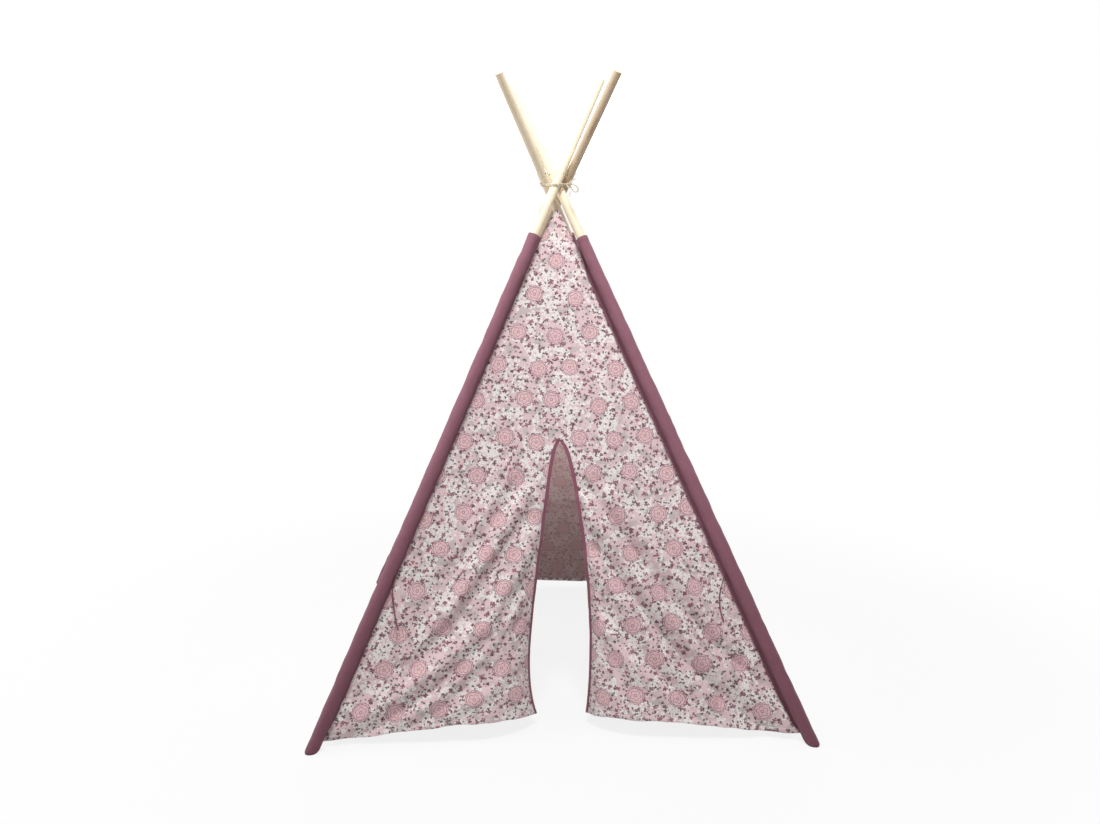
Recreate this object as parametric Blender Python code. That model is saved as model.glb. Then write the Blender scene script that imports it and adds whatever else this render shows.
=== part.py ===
# Kids teepee: four pine poles lashed where they cross, cloth sleeves over the poles, three plain
# cover panels, and a front panel whose slit opens between two bound door flaps.
# Metres, +Z up, origin on the floor at the centre of the base, door towards -Y.

import math

import bmesh
import bpy
import numpy as np
from mathutils import Matrix, Vector

# Driving dimensions of the frame
foot_spacing = 1.2
cross_height = 1.33
pole_length = 1.925
lower_pole_length = 0.96
pole_diameter = 0.025
pole_edge_radius = 0.0014
cord_hole_diameter = 0.0045
cord_hole_above_cross = 0.058
ferrule_length = 0.12
ferrule_wall = 0.0008

# Driving dimensions of the cover
sleeve_wall = 0.0012
sleeve_top_below_cross = 0.108
seam_flange_width = 0.0125
seam_flange_taper = 0.11
cloth_thickness = 0.0014
hem_height = 0.012
hem_rise = 0.014
panel_free_below_sleeve = 0.01
panel_tip_width = 0.008
panel_tip_trim = 0.018
panel_bow = 0.016
panel_fold_depth = 0.006
slit_top_height = 0.68
slit_top_half_gap = 0.003
slit_flare_left = 0.076
slit_flare_right = 0.1
fold_top_half_width = 0.022
door_half_width = 0.27
front_hem_rise = 0.031
flap_hem_lift = 0.022
binding_width = 0.011
binding_tape = 0.0008

# Driving dimensions of the cords and ties
cord_diameter = 0.003
lashing_turns = 2.5
lashing_above_cross = 0.02
lashing_gap = 0.0007
lashing_slack = 0.0007
tie_height = 0.375
tie_diameter = 0.004
tie_left_length = 0.135
tie_right_length = 0.128

# Clearance between neighbouring pieces, and where the cut fold lines stop below the slit's top
clearance = 0.0003
fold_end_relief = 0.0015
flap_end_relief = 0.0024
weld_distance = 0.00003

# Shares and counts
lap_shares = {
    "front_left": (-0.34, -1.28),
    "front_right": (0.584, -0.18),
    "back_right": (-0.584, 0.16),
    "back_left": (0.72, 1.44),
}
corner_signs = {
    "front_left": (-1, -1),
    "front_right": (1, -1),
    "back_right": (1, 1),
    "back_left": (-1, 1),
}
panel_poles = {
    "front": ("front_left", "front_right"),
    "right": ("front_right", "back_right"),
    "back": ("back_right", "back_left"),
    "left": ("back_left", "front_left"),
}
flange_root_angle = math.radians(38)
flange_root_share = 0.3
flange_root_fullness = 1.6
flange_top_share = 0.12
flange_taper_steps = ((0.0, 1.0), (0.3, 0.72), (0.65, 0.4), (1.0, flange_top_share))
sleeve_ring_shares = (0.06, 0.35, 0.68)
panel_bow_power = 0.7
panel_fold_power = 2
hem_rise_power = 3
front_rise_power = 2
flap_start_share = 0.1
flap_curl = math.radians(62)
curl_bend_power = 1.4
curl_top_share = 0.35
curl_turn = 0.62 * math.pi
least_bound_share = 0.2
hem_lift_power = 1.6
slit_flare_power = 0.6
slit_closings = {-1: (0.85, 7), 1: (0.8, 2)}
fold_count = 3
edge_segments = 2
hole_segments = 12
pole_segments = 24
sleeve_segments = 20
bore_floor_points = 4
panel_columns = 12
panel_rows = 14
tip_rows = 3
flap_columns = 8
flap_rows = 16
curl_steps = 6
slit_top_rows = 3
bib_rows = 6
spline_steps = 12
turn_points = 32
lashing_levels = 4
outline_points = 720

# Derived sizes
pole_radius = pole_diameter / 2
ferrule_bore = pole_radius + clearance
ferrule_radius = ferrule_bore + ferrule_wall
sleeve_bore = ferrule_radius + clearance
sleeve_radius = sleeve_bore + sleeve_wall
seam_reach = sleeve_radius + seam_flange_width
seam_gap = sleeve_wall / math.sqrt(2) + clearance * 2
door_drop = slit_top_height - hem_height
panel_free_height = cross_height - sleeve_top_below_cross - panel_free_below_sleeve


def clear_scene():
    for obj in list(bpy.data.objects):
        bpy.data.objects.remove(obj, do_unlink=True)


def make_material(name, colour, roughness, metallic=0.0):
    material = bpy.data.materials.new(name)
    material.use_nodes = True
    shader = material.node_tree.nodes["Principled BSDF"]
    shader.inputs["Base Color"].default_value = (*colour, 1.0)
    shader.inputs["Roughness"].default_value = roughness
    shader.inputs["Metallic"].default_value = metallic
    material.diffuse_color = (*colour, 1.0)
    return material


def make_materials():
    return {
        "pine": make_material("pine", (0.78, 0.66, 0.45), 0.5),
        "steel": make_material("steel", (0.6, 0.61, 0.62), 0.3, 1.0),
        "plum_cloth": make_material("plum_cloth", (0.26, 0.08, 0.13), 0.85),
        "printed_cloth": make_material("printed_cloth", (0.62, 0.44, 0.47), 0.88),
        "plum_tape": make_material("plum_tape", (0.2, 0.05, 0.09), 0.8),
        "plum_ribbon": make_material("plum_ribbon", (0.22, 0.06, 0.1), 0.75),
        "natural_cord": make_material("natural_cord", (0.72, 0.62, 0.45), 0.9),
    }


def add_mesh_object(name, mesh, material, parent=None):
    mesh.materials.append(material)
    obj = bpy.data.objects.new(name, mesh)
    bpy.context.scene.collection.objects.link(obj)
    if parent is not None:
        obj.parent = parent
    return obj


def add_pivot(name, matrix):
    pivot = bpy.data.objects.new(name, None)
    pivot.empty_display_size = pole_diameter
    bpy.context.scene.collection.objects.link(pivot)
    pivot.matrix_world = matrix
    return pivot


def mesh_from_faces(name, points, faces):
    mesh = bpy.data.meshes.new(name)
    mesh.from_pydata([tuple(p) for p in points], [], faces)
    mesh.validate()
    return mesh


def smooth_sharp(mesh, angle=math.radians(35)):
    mesh.shade_smooth()
    mesh.set_sharp_from_angle(angle=angle)


# Frame geometry: each pole runs from its foot on the floor to its place at the crossing

def pole_points(corner):
    sign_x, sign_y = corner_signs[corner]
    lap_x, lap_y = lap_shares[corner]
    foot = Vector((sign_x * foot_spacing / 2, sign_y * foot_spacing / 2, 0))
    cross = Vector((lap_x * pole_diameter, lap_y * pole_diameter, cross_height))
    return foot, cross


# Local Z runs up the pole, local X points into the tent, and the origin is at the crossing

def pole_matrix(corner):
    foot, cross = pole_points(corner)
    along = (cross - foot).normalized()
    inward = Vector((along.x, along.y, 0)).normalized()
    inward = (inward - along * inward.dot(along)).normalized()
    side = along.cross(inward)
    rows = Matrix((inward, side, along)).transposed()
    return Matrix.Translation(cross) @ rows.to_4x4()


# Local Z at which a point beside the pole, at local X, reaches a height above the floor

def local_z_at(matrix, local_x, height):
    return (height - matrix[2][3] - local_x * matrix[2][0]) / matrix[2][2]


def pole_start(matrix):
    lean = math.sqrt(1 - matrix[2][2] ** 2)
    return local_z_at(matrix, 0, sleeve_wall + clearance + pole_radius * lean)


# Poles, in two lengths that butt inside a steel ferrule

def rod_mesh(name, start, end):
    shape = bmesh.new()
    bmesh.ops.create_cone(
        shape,
        cap_ends=True,
        segments=pole_segments,
        radius1=pole_radius,
        radius2=pole_radius,
        depth=end - start,
        matrix=Matrix.Translation((0, 0, (start + end) / 2)),
    )
    rims = [e for e in shape.edges if abs(e.verts[0].co.z - e.verts[1].co.z) < clearance]
    bmesh.ops.bevel(
        shape, geom=rims, offset=pole_edge_radius, offset_type="OFFSET", segments=edge_segments,
        profile=0.5, affect="EDGES",
    )
    mesh = bpy.data.meshes.new(name)
    shape.to_mesh(mesh)
    shape.free()
    smooth_sharp(mesh)
    return mesh


def add_cord_hole_cutter(name, parent):
    shape = bmesh.new()
    bmesh.ops.create_cone(
        shape,
        cap_ends=True,
        segments=hole_segments,
        radius1=cord_hole_diameter / 2,
        radius2=cord_hole_diameter / 2,
        depth=pole_diameter * 2,
        matrix=Matrix.Translation((0, 0, cord_hole_above_cross)) @ Matrix.Rotation(math.pi / 2, 4, "X"),
    )
    mesh = bpy.data.meshes.new(name)
    shape.to_mesh(mesh)
    shape.free()
    cutter = bpy.data.objects.new(name, mesh)
    bpy.context.scene.collection.objects.link(cutter)
    cutter.parent = parent
    cutter.hide_render = True
    cutter.display_type = "WIRE"
    return cutter


def add_poles(corner, matrix, parent, materials):
    start = pole_start(matrix)
    middle = start + lower_pole_length
    top = start + pole_length
    lower = rod_mesh(f"lower_pole_{corner}", start, middle)
    add_mesh_object(f"lower_pole_{corner}", lower, materials["pine"], parent)
    upper = rod_mesh(f"upper_pole_{corner}", middle + clearance, top)
    upper_object = add_mesh_object(f"upper_pole_{corner}", upper, materials["pine"], parent)
    cut = upper_object.modifiers.new("cord_hole", "BOOLEAN")
    cut.operation = "DIFFERENCE"
    cut.object = add_cord_hole_cutter(f"cutter_cord_hole_{corner}", parent)
    return middle


# A closed wall between an outer and an inner stack of rings, open at the top and bottom or
# closed at the bottom by a floor

def ring_stack_mesh(name, outer, inner, closed_floor):
    count = len(outer[0])
    stack = list(outer) + list(reversed(inner))
    points = [point for ring in stack for point in ring]
    faces = []
    for level in range(len(stack) - 1):
        low = level * count
        high = low + count
        for i in range(count):
            j = (i + 1) % count
            faces.append((low + i, low + j, high + j, high + i))
    last = (len(stack) - 1) * count
    if closed_floor:
        faces.append(tuple(reversed(range(count))))
        faces.append(tuple(range(last, last + count)))
    else:
        for i in range(count):
            j = (i + 1) % count
            faces.append((last + i, last + j, j, i))
    mesh = mesh_from_faces(name, points, faces)
    smooth_sharp(mesh)
    return mesh


def circle_ring(radius, height):
    angles = [2 * math.pi * i / pole_segments for i in range(pole_segments)]
    return [Vector((radius * math.cos(a), radius * math.sin(a), height)) for a in angles]


def add_ferrule(corner, middle, parent, materials):
    low = middle - ferrule_length / 2
    high = middle + ferrule_length / 2
    outer = [circle_ring(ferrule_radius, low), circle_ring(ferrule_radius, high)]
    inner = [circle_ring(ferrule_bore, low), circle_ring(ferrule_bore, high)]
    mesh = ring_stack_mesh(f"ferrule_{corner}", outer, inner, False)
    add_mesh_object(f"ferrule_{corner}", mesh, materials["steel"], parent)


# Sleeve: a cloth tube round the pole whose two layers meet in a seam flange towards the tent

def sleeve_outline(flange_share):
    reach = seam_flange_width * flange_share
    half = sleeve_wall
    spread = 2 * math.pi - 2 * flange_root_angle
    angles = [flange_root_angle + spread * i / sleeve_segments for i in range(sleeve_segments + 1)]
    outer = [(sleeve_radius * math.cos(a), sleeve_radius * math.sin(a)) for a in angles]
    inner = [(sleeve_bore * math.cos(a), sleeve_bore * math.sin(a)) for a in angles]
    root = sleeve_radius + reach * flange_root_share
    tip = sleeve_radius + reach
    full = half * flange_root_fullness
    outer += [(root, -full), (tip, -half), (tip, half), (root, full)]
    for i in range(bore_floor_points):
        a = flange_root_angle * (2 * (i + 1) / (bore_floor_points + 1) - 1)
        inner.append((sleeve_bore * math.cos(a), sleeve_bore * math.sin(a)))
    return outer, inner


def add_sleeve(corner, matrix, parent, materials):
    top = -sleeve_top_below_cross / matrix[2][2]
    foot = local_z_at(matrix, 0, 0)
    taper_start = top - seam_flange_taper
    levels = [(foot + (taper_start - foot) * share, 1.0) for share in sleeve_ring_shares]
    levels += [(taper_start + (top - taper_start) * share, full) for share, full in flange_taper_steps]
    outer = []
    inner = []
    outline, bore = sleeve_outline(1.0)
    outer.append([Vector((x, y, local_z_at(matrix, x, 0))) for x, y in outline])
    inner.append([Vector((x, y, local_z_at(matrix, x, sleeve_wall))) for x, y in bore])
    for height, full in levels:
        outline, bore = sleeve_outline(full)
        outer.append([Vector((x, y, height)) for x, y in outline])
        inner.append([Vector((x, y, height)) for x, y in bore])
    mesh = ring_stack_mesh(f"sleeve_{corner}", outer, inner, True)
    add_mesh_object(f"sleeve_{corner}", mesh, materials["plum_cloth"], parent)


# Cover panels hang between the seams of two neighbouring poles

def seam_point(corner, height):
    matrix = pole_matrix(corner)
    return matrix @ Vector((seam_reach, 0, local_z_at(matrix, seam_reach, height)))


# The tip of a panel ends a little below where its two seams come together or near the tent's axis

def tip_height(side):
    first, second = panel_poles[side]
    low = [seam_point(first, hem_height), seam_point(second, hem_height)]
    high = [seam_point(first, panel_free_height), seam_point(second, panel_free_height)]
    across = (high[1] - high[0]).normalized()
    outwards = Vector((low[0].x + low[1].x, low[0].y + low[1].y, 0)).normalized()
    rise = panel_free_height - hem_height
    width = (high[1] - high[0]).length
    narrowing = ((low[1] - low[0]).dot(across) - width) / rise
    reach = (high[0] + high[1]).dot(outwards) / 2
    leaning = ((low[0] + low[1]).dot(outwards) / 2 - reach) / rise
    by_width = panel_free_height + (width - panel_tip_width - 2 * seam_gap) / narrowing
    by_reach = panel_free_height + (reach - panel_tip_width) / leaning
    return min(by_width, by_reach) - panel_tip_trim


def panel_edges(side, height):
    first, second = panel_poles[side]
    start = seam_point(first, height)
    end = seam_point(second, height)
    if height > panel_free_height:
        top = tip_height(side)
        share = (top - height) / (top - panel_free_height)
        middle = (start + end) / 2
        base = seam_point(second, panel_free_height) - seam_point(first, panel_free_height)
        half = (panel_tip_width + (base.length - 2 * seam_gap - panel_tip_width) * share) / 2
        return middle - base.normalized() * half, middle + base.normalized() * half
    across = (end - start).normalized()
    return start + across * seam_gap, end - across * seam_gap


def panel_inward(side):
    start, end = panel_edges(side, hem_height)
    low = (start + end) / 2
    top_start, top_end = panel_edges(side, panel_free_height)
    high = (top_start + top_end) / 2
    normal = (end - start).cross(high - low).normalized()
    return normal if normal.dot(Vector((low.x, low.y, 0))) < 0 else -normal


def row_heights(count, low, high):
    return [low + (high - low) * i / count for i in range(count + 1)]


def panel_rows_of_points(side):
    inward = panel_inward(side)
    rows = []
    heights = row_heights(panel_rows, hem_height, panel_free_height)
    heights += row_heights(tip_rows, panel_free_height, tip_height(side))[1:]
    for height in heights:
        start, end = panel_edges(side, height)
        slack = max(0.0, 1 - (height - hem_height) / (panel_free_height - hem_height))
        row = []
        for i in range(panel_columns + 1):
            u = i / panel_columns
            arch = 4 * u * (1 - u)
            sag = panel_bow * arch * slack ** panel_bow_power
            wave = math.sin(2 * math.pi * fold_count * u)
            fold = panel_fold_depth * arch * slack ** panel_fold_power * wave
            rise = Vector((0, 0, hem_rise * arch * slack ** hem_rise_power))
            row.append(start.lerp(end, u) + inward * (sag + fold) + rise)
        rows.append(row)
    return rows


def sheet_object(name, rows, material, parent=None):
    points = [point for row in rows for point in row]
    width = len(rows[0])
    faces = []
    for r in range(len(rows) - 1):
        for c in range(width - 1):
            low = r * width + c
            high = low + width
            faces.append((low, low + 1, high + 1))
            faces.append((low, high + 1, high))
    mesh = mesh_from_faces(name, points, faces)
    mesh.shade_smooth()
    obj = add_mesh_object(name, mesh, material)
    thicken(obj)
    if parent is not None:
        hang_from(obj, parent)
    return obj


def thicken(obj):
    wall = obj.modifiers.new("cloth", "SOLIDIFY")
    wall.thickness = cloth_thickness
    wall.offset = 0
    wall.use_even_offset = True


def hang_from(obj, pivot):
    bpy.context.view_layer.update()
    obj.data.transform(pivot.matrix_world.inverted())
    obj.parent = pivot


def add_plain_panels(materials):
    for side in ("right", "back", "left"):
        sheet_object(f"{side}_panel", panel_rows_of_points(side), materials["printed_cloth"])


# Front opening, by the share of the way down from the top of the slit to the hem. Each side of
# the slit flares out and closes again towards the hem, the right one (sign 1) sooner.

def drop_share(height):
    return (slit_top_height - height) / door_drop


def slit_half_gap(drop, sign):
    flare = slit_flare_right if sign > 0 else slit_flare_left
    closing, power = slit_closings[sign]
    return slit_top_half_gap + flare * drop ** slit_flare_power * (1 - closing * drop ** power)


def fold_half_width(drop):
    return fold_top_half_width + (door_half_width - fold_top_half_width) * drop


def front_middle(height):
    start, end = panel_edges("front", height)
    return (start + end) / 2


def front_across():
    start, end = panel_edges("front", hem_height)
    return (end - start).normalized()


def front_up():
    return (front_middle(panel_free_height) - front_middle(hem_height)).normalized()


def front_row(height, inner_height, half_gap, sign):
    start, end = panel_edges("front", height)
    across = front_across()
    inner = front_middle(inner_height) + across * half_gap * sign
    outer = end if sign > 0 else start
    inward = panel_inward("front")
    slack = max(0.0, 1 - (height - hem_height) / (panel_free_height - hem_height))
    row = []
    columns = panel_columns // 2
    for i in range(columns + 1):
        u = i / columns
        fold = panel_fold_depth * slack * math.sin(2 * math.pi * u) * (1 - u)
        row.append(outer.lerp(inner, u) + inward * fold)
    return row


# The front hem rises from the seams to the fold lines, and this rise dies out up the cloth

def risen_height(height):
    slack = (fold_end_height() - height) / (fold_end_height() - hem_height)
    return height + front_hem_rise * max(0.0, slack) ** front_rise_power


def fold_end_height():
    return slit_top_height - flap_start_share * door_drop


def front_half_rows(sign):
    rows = []
    for height in row_heights(flap_rows, hem_height, fold_end_height() - fold_end_relief):
        inner_height = risen_height(height)
        half_width = fold_half_width(drop_share(inner_height)) + clearance / 2
        rows.append(front_row(height, inner_height, half_width, sign))
    for height in row_heights(slit_top_rows, fold_end_height(), slit_top_height)[:-1]:
        rows.append(front_row(height, height, slit_half_gap(drop_share(height), sign), sign))
    for height in row_heights(bib_rows, slit_top_height, panel_free_height):
        rows.append(front_row(height, height, 0, sign))
    for height in row_heights(tip_rows, panel_free_height, tip_height("front"))[1:]:
        rows.append(front_row(height, height, 0, sign))
    return rows


def add_front_panel(materials):
    shape = bmesh.new()
    for sign in (-1, 1):
        rows = front_half_rows(sign)
        verts = [[shape.verts.new(point) for point in row] for row in rows]
        for r in range(len(rows) - 1):
            for c in range(len(rows[0]) - 1):
                corners = [verts[r][c], verts[r][c + 1], verts[r + 1][c + 1], verts[r + 1][c]]
                shape.faces.new(corners if sign < 0 else list(reversed(corners)))
    bmesh.ops.remove_doubles(shape, verts=shape.verts, dist=weld_distance)
    mesh = bpy.data.meshes.new("front_panel")
    shape.to_mesh(mesh)
    shape.free()
    mesh.shade_smooth()
    thicken(add_mesh_object("front_panel", mesh, materials["printed_cloth"]))


# Each flap is as wide as the cloth between its fold line and the slit, and curls inwards

def flap_start_height():
    return fold_end_height() - flap_end_relief


def flap_row(seam_height, sign):
    height = risen_height(seam_height)
    drop = drop_share(height)
    fold = fold_half_width(drop) - clearance / 2
    width = fold - slit_half_gap(drop, sign)
    bound = max(least_bound_share, 1 - binding_width / width)
    shares = [bound * i / (flap_columns - 1) for i in range(flap_columns)] + [1.0]
    curl = flap_curl * (curl_top_share + (1 - curl_top_share) * math.sin(curl_turn * drop))
    towards_slit = -front_across() * sign
    inward = panel_inward("front")
    up = front_up()
    point = front_middle(height) + front_across() * fold * sign
    row = [point.copy()]
    for low, high in zip(shares, shares[1:]):
        for i in range(curl_steps):
            share = low + (high - low) * (i + 0.5) / curl_steps
            bend = curl * min(share, bound) ** curl_bend_power
            length = width * (high - low) / curl_steps
            point = point + (towards_slit * math.cos(bend) + inward * math.sin(bend)) * length
        row.append(point + up * flap_hem_lift * high ** hem_lift_power * drop ** hem_lift_power)
    return row


def flap_rows_of_points(sign):
    heights = row_heights(flap_rows, hem_height, flap_start_height())
    return [flap_row(height, sign) for height in heights]


def flap_pivot(name, sign):
    low = front_middle(hem_height) + front_across() * fold_half_width(1) * sign
    high_drop = drop_share(flap_start_height())
    high = front_middle(flap_start_height()) + front_across() * fold_half_width(high_drop) * sign
    up = (high - low).normalized()
    side = up.cross(panel_inward("front")).normalized()
    rows = Matrix((side, up.cross(side), up)).transposed()
    return add_pivot(name, Matrix.Translation((low + high) / 2) @ rows.to_4x4())


# Binding: a folded tape whose channel holds the free edge of the flap. Its faces are split along
# the same diagonals as the cloth, from the places in each ring that lie on the cloth's side.
binding_root_places = (0, 1, 4, 5)


def binding_ring(rows, index):
    row = rows[index]
    edge = row[-1]
    root = row[-2]
    above = rows[min(index + 1, len(rows) - 1)]
    below = rows[max(index - 1, 0)]
    out = (edge - root).normalized()
    normal = out.cross(above[-1] - below[-1]).normalized()
    slot = cloth_thickness / 2 + clearance
    skin = slot + binding_tape
    end = edge + out * clearance
    tip = end + out * binding_tape
    ring = [root + normal * slot, root + normal * skin, tip + normal * skin]
    ring += [tip - normal * skin, root - normal * skin, root - normal * slot]
    ring += [end - normal * slot, end + normal * slot]
    return ring


def add_binding(name, rows, pivot, material):
    rings = [binding_ring(rows, index) for index in range(len(rows))]
    count = len(rings[0])
    points = [point for ring in rings for point in ring]
    faces = [tuple(range(count)), tuple(reversed(range(len(points) - count, len(points))))]
    for r in range(len(rings) - 1):
        for i in range(count):
            j = (i + 1) % count
            low = r * count
            high = low + count
            if i in binding_root_places:
                faces.append((low + i, high + i, high + j))
                faces.append((low + i, high + j, low + j))
            else:
                faces.append((low + j, high + i, high + j))
                faces.append((low + j, low + i, high + i))
    mesh = mesh_from_faces(name, points, faces)
    shape = bmesh.new()
    shape.from_mesh(mesh)
    bmesh.ops.recalc_face_normals(shape, faces=shape.faces)
    shape.to_mesh(mesh)
    shape.free()
    smooth_sharp(mesh)
    hang_from(add_mesh_object(name, mesh, material), pivot)


def add_flaps(materials):
    for label, sign in (("left", -1), ("right", 1)):
        pivot = flap_pivot(f"pivot_door_flap_{label}", sign)
        rows = flap_rows_of_points(sign)
        sheet_object(f"door_flap_{label}", rows, materials["printed_cloth"], pivot)
        add_binding(f"door_binding_{label}", rows, pivot, materials["plum_tape"])


# Cords

def smooth_route(points, spacing):
    points = [Vector(p) for p in points]
    padded = [points[0] * 2 - points[1]] + points + [points[-1] * 2 - points[-2]]
    dense = []
    for i in range(1, len(padded) - 2):
        before, start, end, after = padded[i - 1:i + 3]
        for k in range(spline_steps):
            t = k / spline_steps
            dense.append(0.5 * (
                2 * start + (end - before) * t
                + (2 * before - 5 * start + 4 * end - after) * t ** 2
                + (3 * start - before - 3 * end + after) * t ** 3
            ))
    dense.append(points[-1])
    return resample(dense, spacing)


def resample(points, spacing):
    lengths = [0.0]
    for low, high in zip(points, points[1:]):
        lengths.append(lengths[-1] + (high - low).length)
    count = max(2, round(lengths[-1] / spacing))
    result = []
    index = 0
    for i in range(count + 1):
        target = lengths[-1] * i / count
        while index < len(points) - 2 and lengths[index + 1] < target:
            index += 1
        step = lengths[index + 1] - lengths[index]
        share = (target - lengths[index]) / step if step > 0 else 0
        result.append(points[index].lerp(points[index + 1], min(1, share)))
    return result


def least_self_gap(points, diameter):
    least = math.inf
    places = np.array([tuple(p) for p in points])
    along = np.concatenate([[0], np.cumsum(np.linalg.norm(np.diff(places, axis=0), axis=1))])
    for i in range(len(places)):
        far = np.abs(along - along[i]) > 3 * diameter
        if far.any():
            least = min(least, np.linalg.norm(places[far] - places[i], axis=1).min())
    return least - diameter


def add_cord(name, points, diameter, material, resolution=1):
    curve = bpy.data.curves.new(name, "CURVE")
    curve.dimensions = "3D"
    curve.bevel_depth = diameter / 2
    curve.bevel_resolution = resolution
    curve.use_fill_caps = True
    spline = curve.splines.new("POLY")
    spline.points.add(len(points) - 1)
    for place, point in zip(spline.points, points):
        place.co = (*point, 1)
    curve.materials.append(material)
    obj = bpy.data.objects.new(name, curve)
    bpy.context.scene.collection.objects.link(obj)
    return obj


# Outline of the pole bundle at a height, as the hull of the four slanted pole sections

def bundle_outline(height, margin):
    outline = []
    for i in range(outline_points):
        angle = 2 * math.pi * i / outline_points
        way = Vector((math.cos(angle), math.sin(angle), 0))
        best = None
        for corner in corner_signs:
            foot, cross = pole_points(corner)
            along = (cross - foot).normalized()
            lean = Vector((along.x, along.y, 0)).normalized()
            centre = cross + along * ((height - cross.z) / along.z)
            stretch = 1 / along.z
            radius = pole_radius + margin
            long_part = lean * radius * stretch
            short_part = Vector((-lean.y, lean.x, 0)) * radius
            reach = math.hypot(way.dot(long_part), way.dot(short_part))
            place = centre + (long_part * way.dot(long_part) + short_part * way.dot(short_part)) / reach
            if best is None or place.dot(way) > best.dot(way):
                best = place
        outline.append(best)
    outline.append(outline[0])
    return outline


def outline_place(outline, share):
    lengths = [0.0]
    for low, high in zip(outline, outline[1:]):
        lengths.append(lengths[-1] + (high - low).length)
    target = lengths[-1] * (share % 1)
    for i in range(len(outline) - 1):
        if lengths[i + 1] >= target and lengths[i + 1] > lengths[i]:
            return outline[i].lerp(outline[i + 1], (target - lengths[i]) / (lengths[i + 1] - lengths[i]))
    return outline[-1]


def lashing_points():
    margin = cord_diameter / 2 + lashing_slack
    pitch = cord_diameter + lashing_gap
    low = cross_height + lashing_above_cross - pitch * lashing_turns / 2
    rise = pitch * lashing_turns / lashing_levels
    levels = [bundle_outline(low + rise * k, margin) for k in range(lashing_levels + 1)]
    count = int(turn_points * lashing_turns)
    points = []
    for i in range(count + 1):
        turns = lashing_turns * i / count
        level = lashing_levels * i / count
        lower = min(lashing_levels - 1, int(level))
        place = outline_place(levels[lower], turns)
        place = place.lerp(outline_place(levels[lower + 1], turns), level - lower)
        points.append(Vector((place.x, place.y, low + pitch * turns)))
    return points


# Places along the bow, from the knot, in millimetres: tail, knot, loop, knot and second tail
bow_unit = 0.001
bow_knot_share = 0.6
bow_route = [
    (4.0, -24.0, -32.0), (6.0, -19.5, -22.0), (5.0, -13.0, -12.0), (1.0, -6.0, -4.5),
    (-2.5, -4.5, 0.5), (1.0, -4.2, 4.5), (8.0, -6.5, 3.5), (17.0, -8.5, 1.0),
    (26.0, -9.0, -4.5), (29.0, -8.0, -12.5), (24.0, -6.0, -18.5), (16.0, -5.0, -15.5),
    (11.0, -6.5, -8.5), (6.0, -10.5, -2.0), (4.0, -12.5, 4.5), (10.0, -11.5, 11.0),
    (20.0, -10.0, 17.0),
]


# The knot lies on the longest free run of the winding on the right, outside its turns

def knot_place():
    outline = bundle_outline(cross_height + lashing_above_cross, cord_diameter / 2 + lashing_slack)
    runs = [(low, high) for low, high in zip(outline, outline[1:]) if low.x > 0 and high.x > low.x]
    low, high = max(runs, key=lambda run: (run[1] - run[0]).length)
    outwards = (high - low).normalized().cross(Vector((0, 0, 1)))
    return low.lerp(high, bow_knot_share) + outwards * (cord_diameter + clearance)


def bow_points(knot):
    return smooth_route([knot + Vector(p) * bow_unit for p in bow_route], cord_diameter)


def add_lashing(materials):
    winding = lashing_points()
    print("lashing turns, least gap to itself (mm):", round(least_self_gap(winding, cord_diameter) * 1000, 2))
    add_cord("lashing_cord", winding, cord_diameter, materials["natural_cord"])
    bow = bow_points(knot_place())
    print("bow, least gap to itself (mm):", round(least_self_gap(bow, cord_diameter) * 1000, 2))
    add_cord("lashing_bow", bow, cord_diameter, materials["natural_cord"])


# Ties hang from the seam of each front pole and lie on the front panel. Each step is a share of
# the tie's length: sideways, down the cloth, and how much of the stitch's height above it is left
tie_left_shares = [(0, 0, 1), (-0.05, 0.2, 0.6), (-0.03, 0.5, 0.2), (0.02, 0.8, 0.05), (0.07, 0.98, 0)]
tie_right_shares = [(0, 0, 1), (-0.08, 0.25, 0.6), (-0.14, 0.5, 0.2), (-0.13, 0.75, 0.05), (-0.08, 0.97, 0)]


def tie_points(corner, shares, length):
    matrix = pole_matrix(corner)
    stitch_x = sleeve_radius + seam_flange_width / 2
    z = local_z_at(matrix, stitch_x, tie_height)
    sign = 1 if corner == "front_right" else -1
    out = sign * (sleeve_wall * flange_root_fullness + clearance + tie_diameter / 2)
    stitch = matrix @ Vector((stitch_x, out, z))
    inward = panel_inward("front")
    across = front_across()
    down = inward.cross(across).normalized()
    down = down if down.z < 0 else -down
    height_above = (seam_point(corner, tie_height) - stitch).dot(inward)
    rest = cloth_thickness / 2 + clearance * 2 + tie_diameter / 2
    route = []
    for sideways, fall, lift_share in shares:
        lift = rest + (height_above - rest) * lift_share
        place = stitch + across * sideways * length + down * fall * length
        route.append(place + inward * (height_above - lift))
    return smooth_route(route, tie_diameter * 2)


def add_ties(pivots, materials):
    routes = (
        ("tie_left", "front_left", tie_left_shares, tie_left_length),
        ("tie_right", "front_right", tie_right_shares, tie_right_length),
    )
    for name, corner, shares, length in routes:
        points = tie_points(corner, shares, length)
        tie = add_cord(name, points, tie_diameter, materials["plum_ribbon"], 2)
        bpy.context.view_layer.update()
        tie.parent = pivots[corner]
        tie.matrix_parent_inverse = pivots[corner].matrix_world.inverted()


def build():
    clear_scene()
    materials = make_materials()
    pivots = {}
    for corner in corner_signs:
        matrix = pole_matrix(corner)
        pivots[corner] = add_pivot(f"pivot_{corner}", matrix)
        middle = add_poles(corner, matrix, pivots[corner], materials)
        add_ferrule(corner, middle, pivots[corner], materials)
        add_sleeve(corner, matrix, pivots[corner], materials)
    add_plain_panels(materials)
    add_front_panel(materials)
    add_flaps(materials)
    add_lashing(materials)
    add_ties(pivots, materials)


build()
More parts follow.
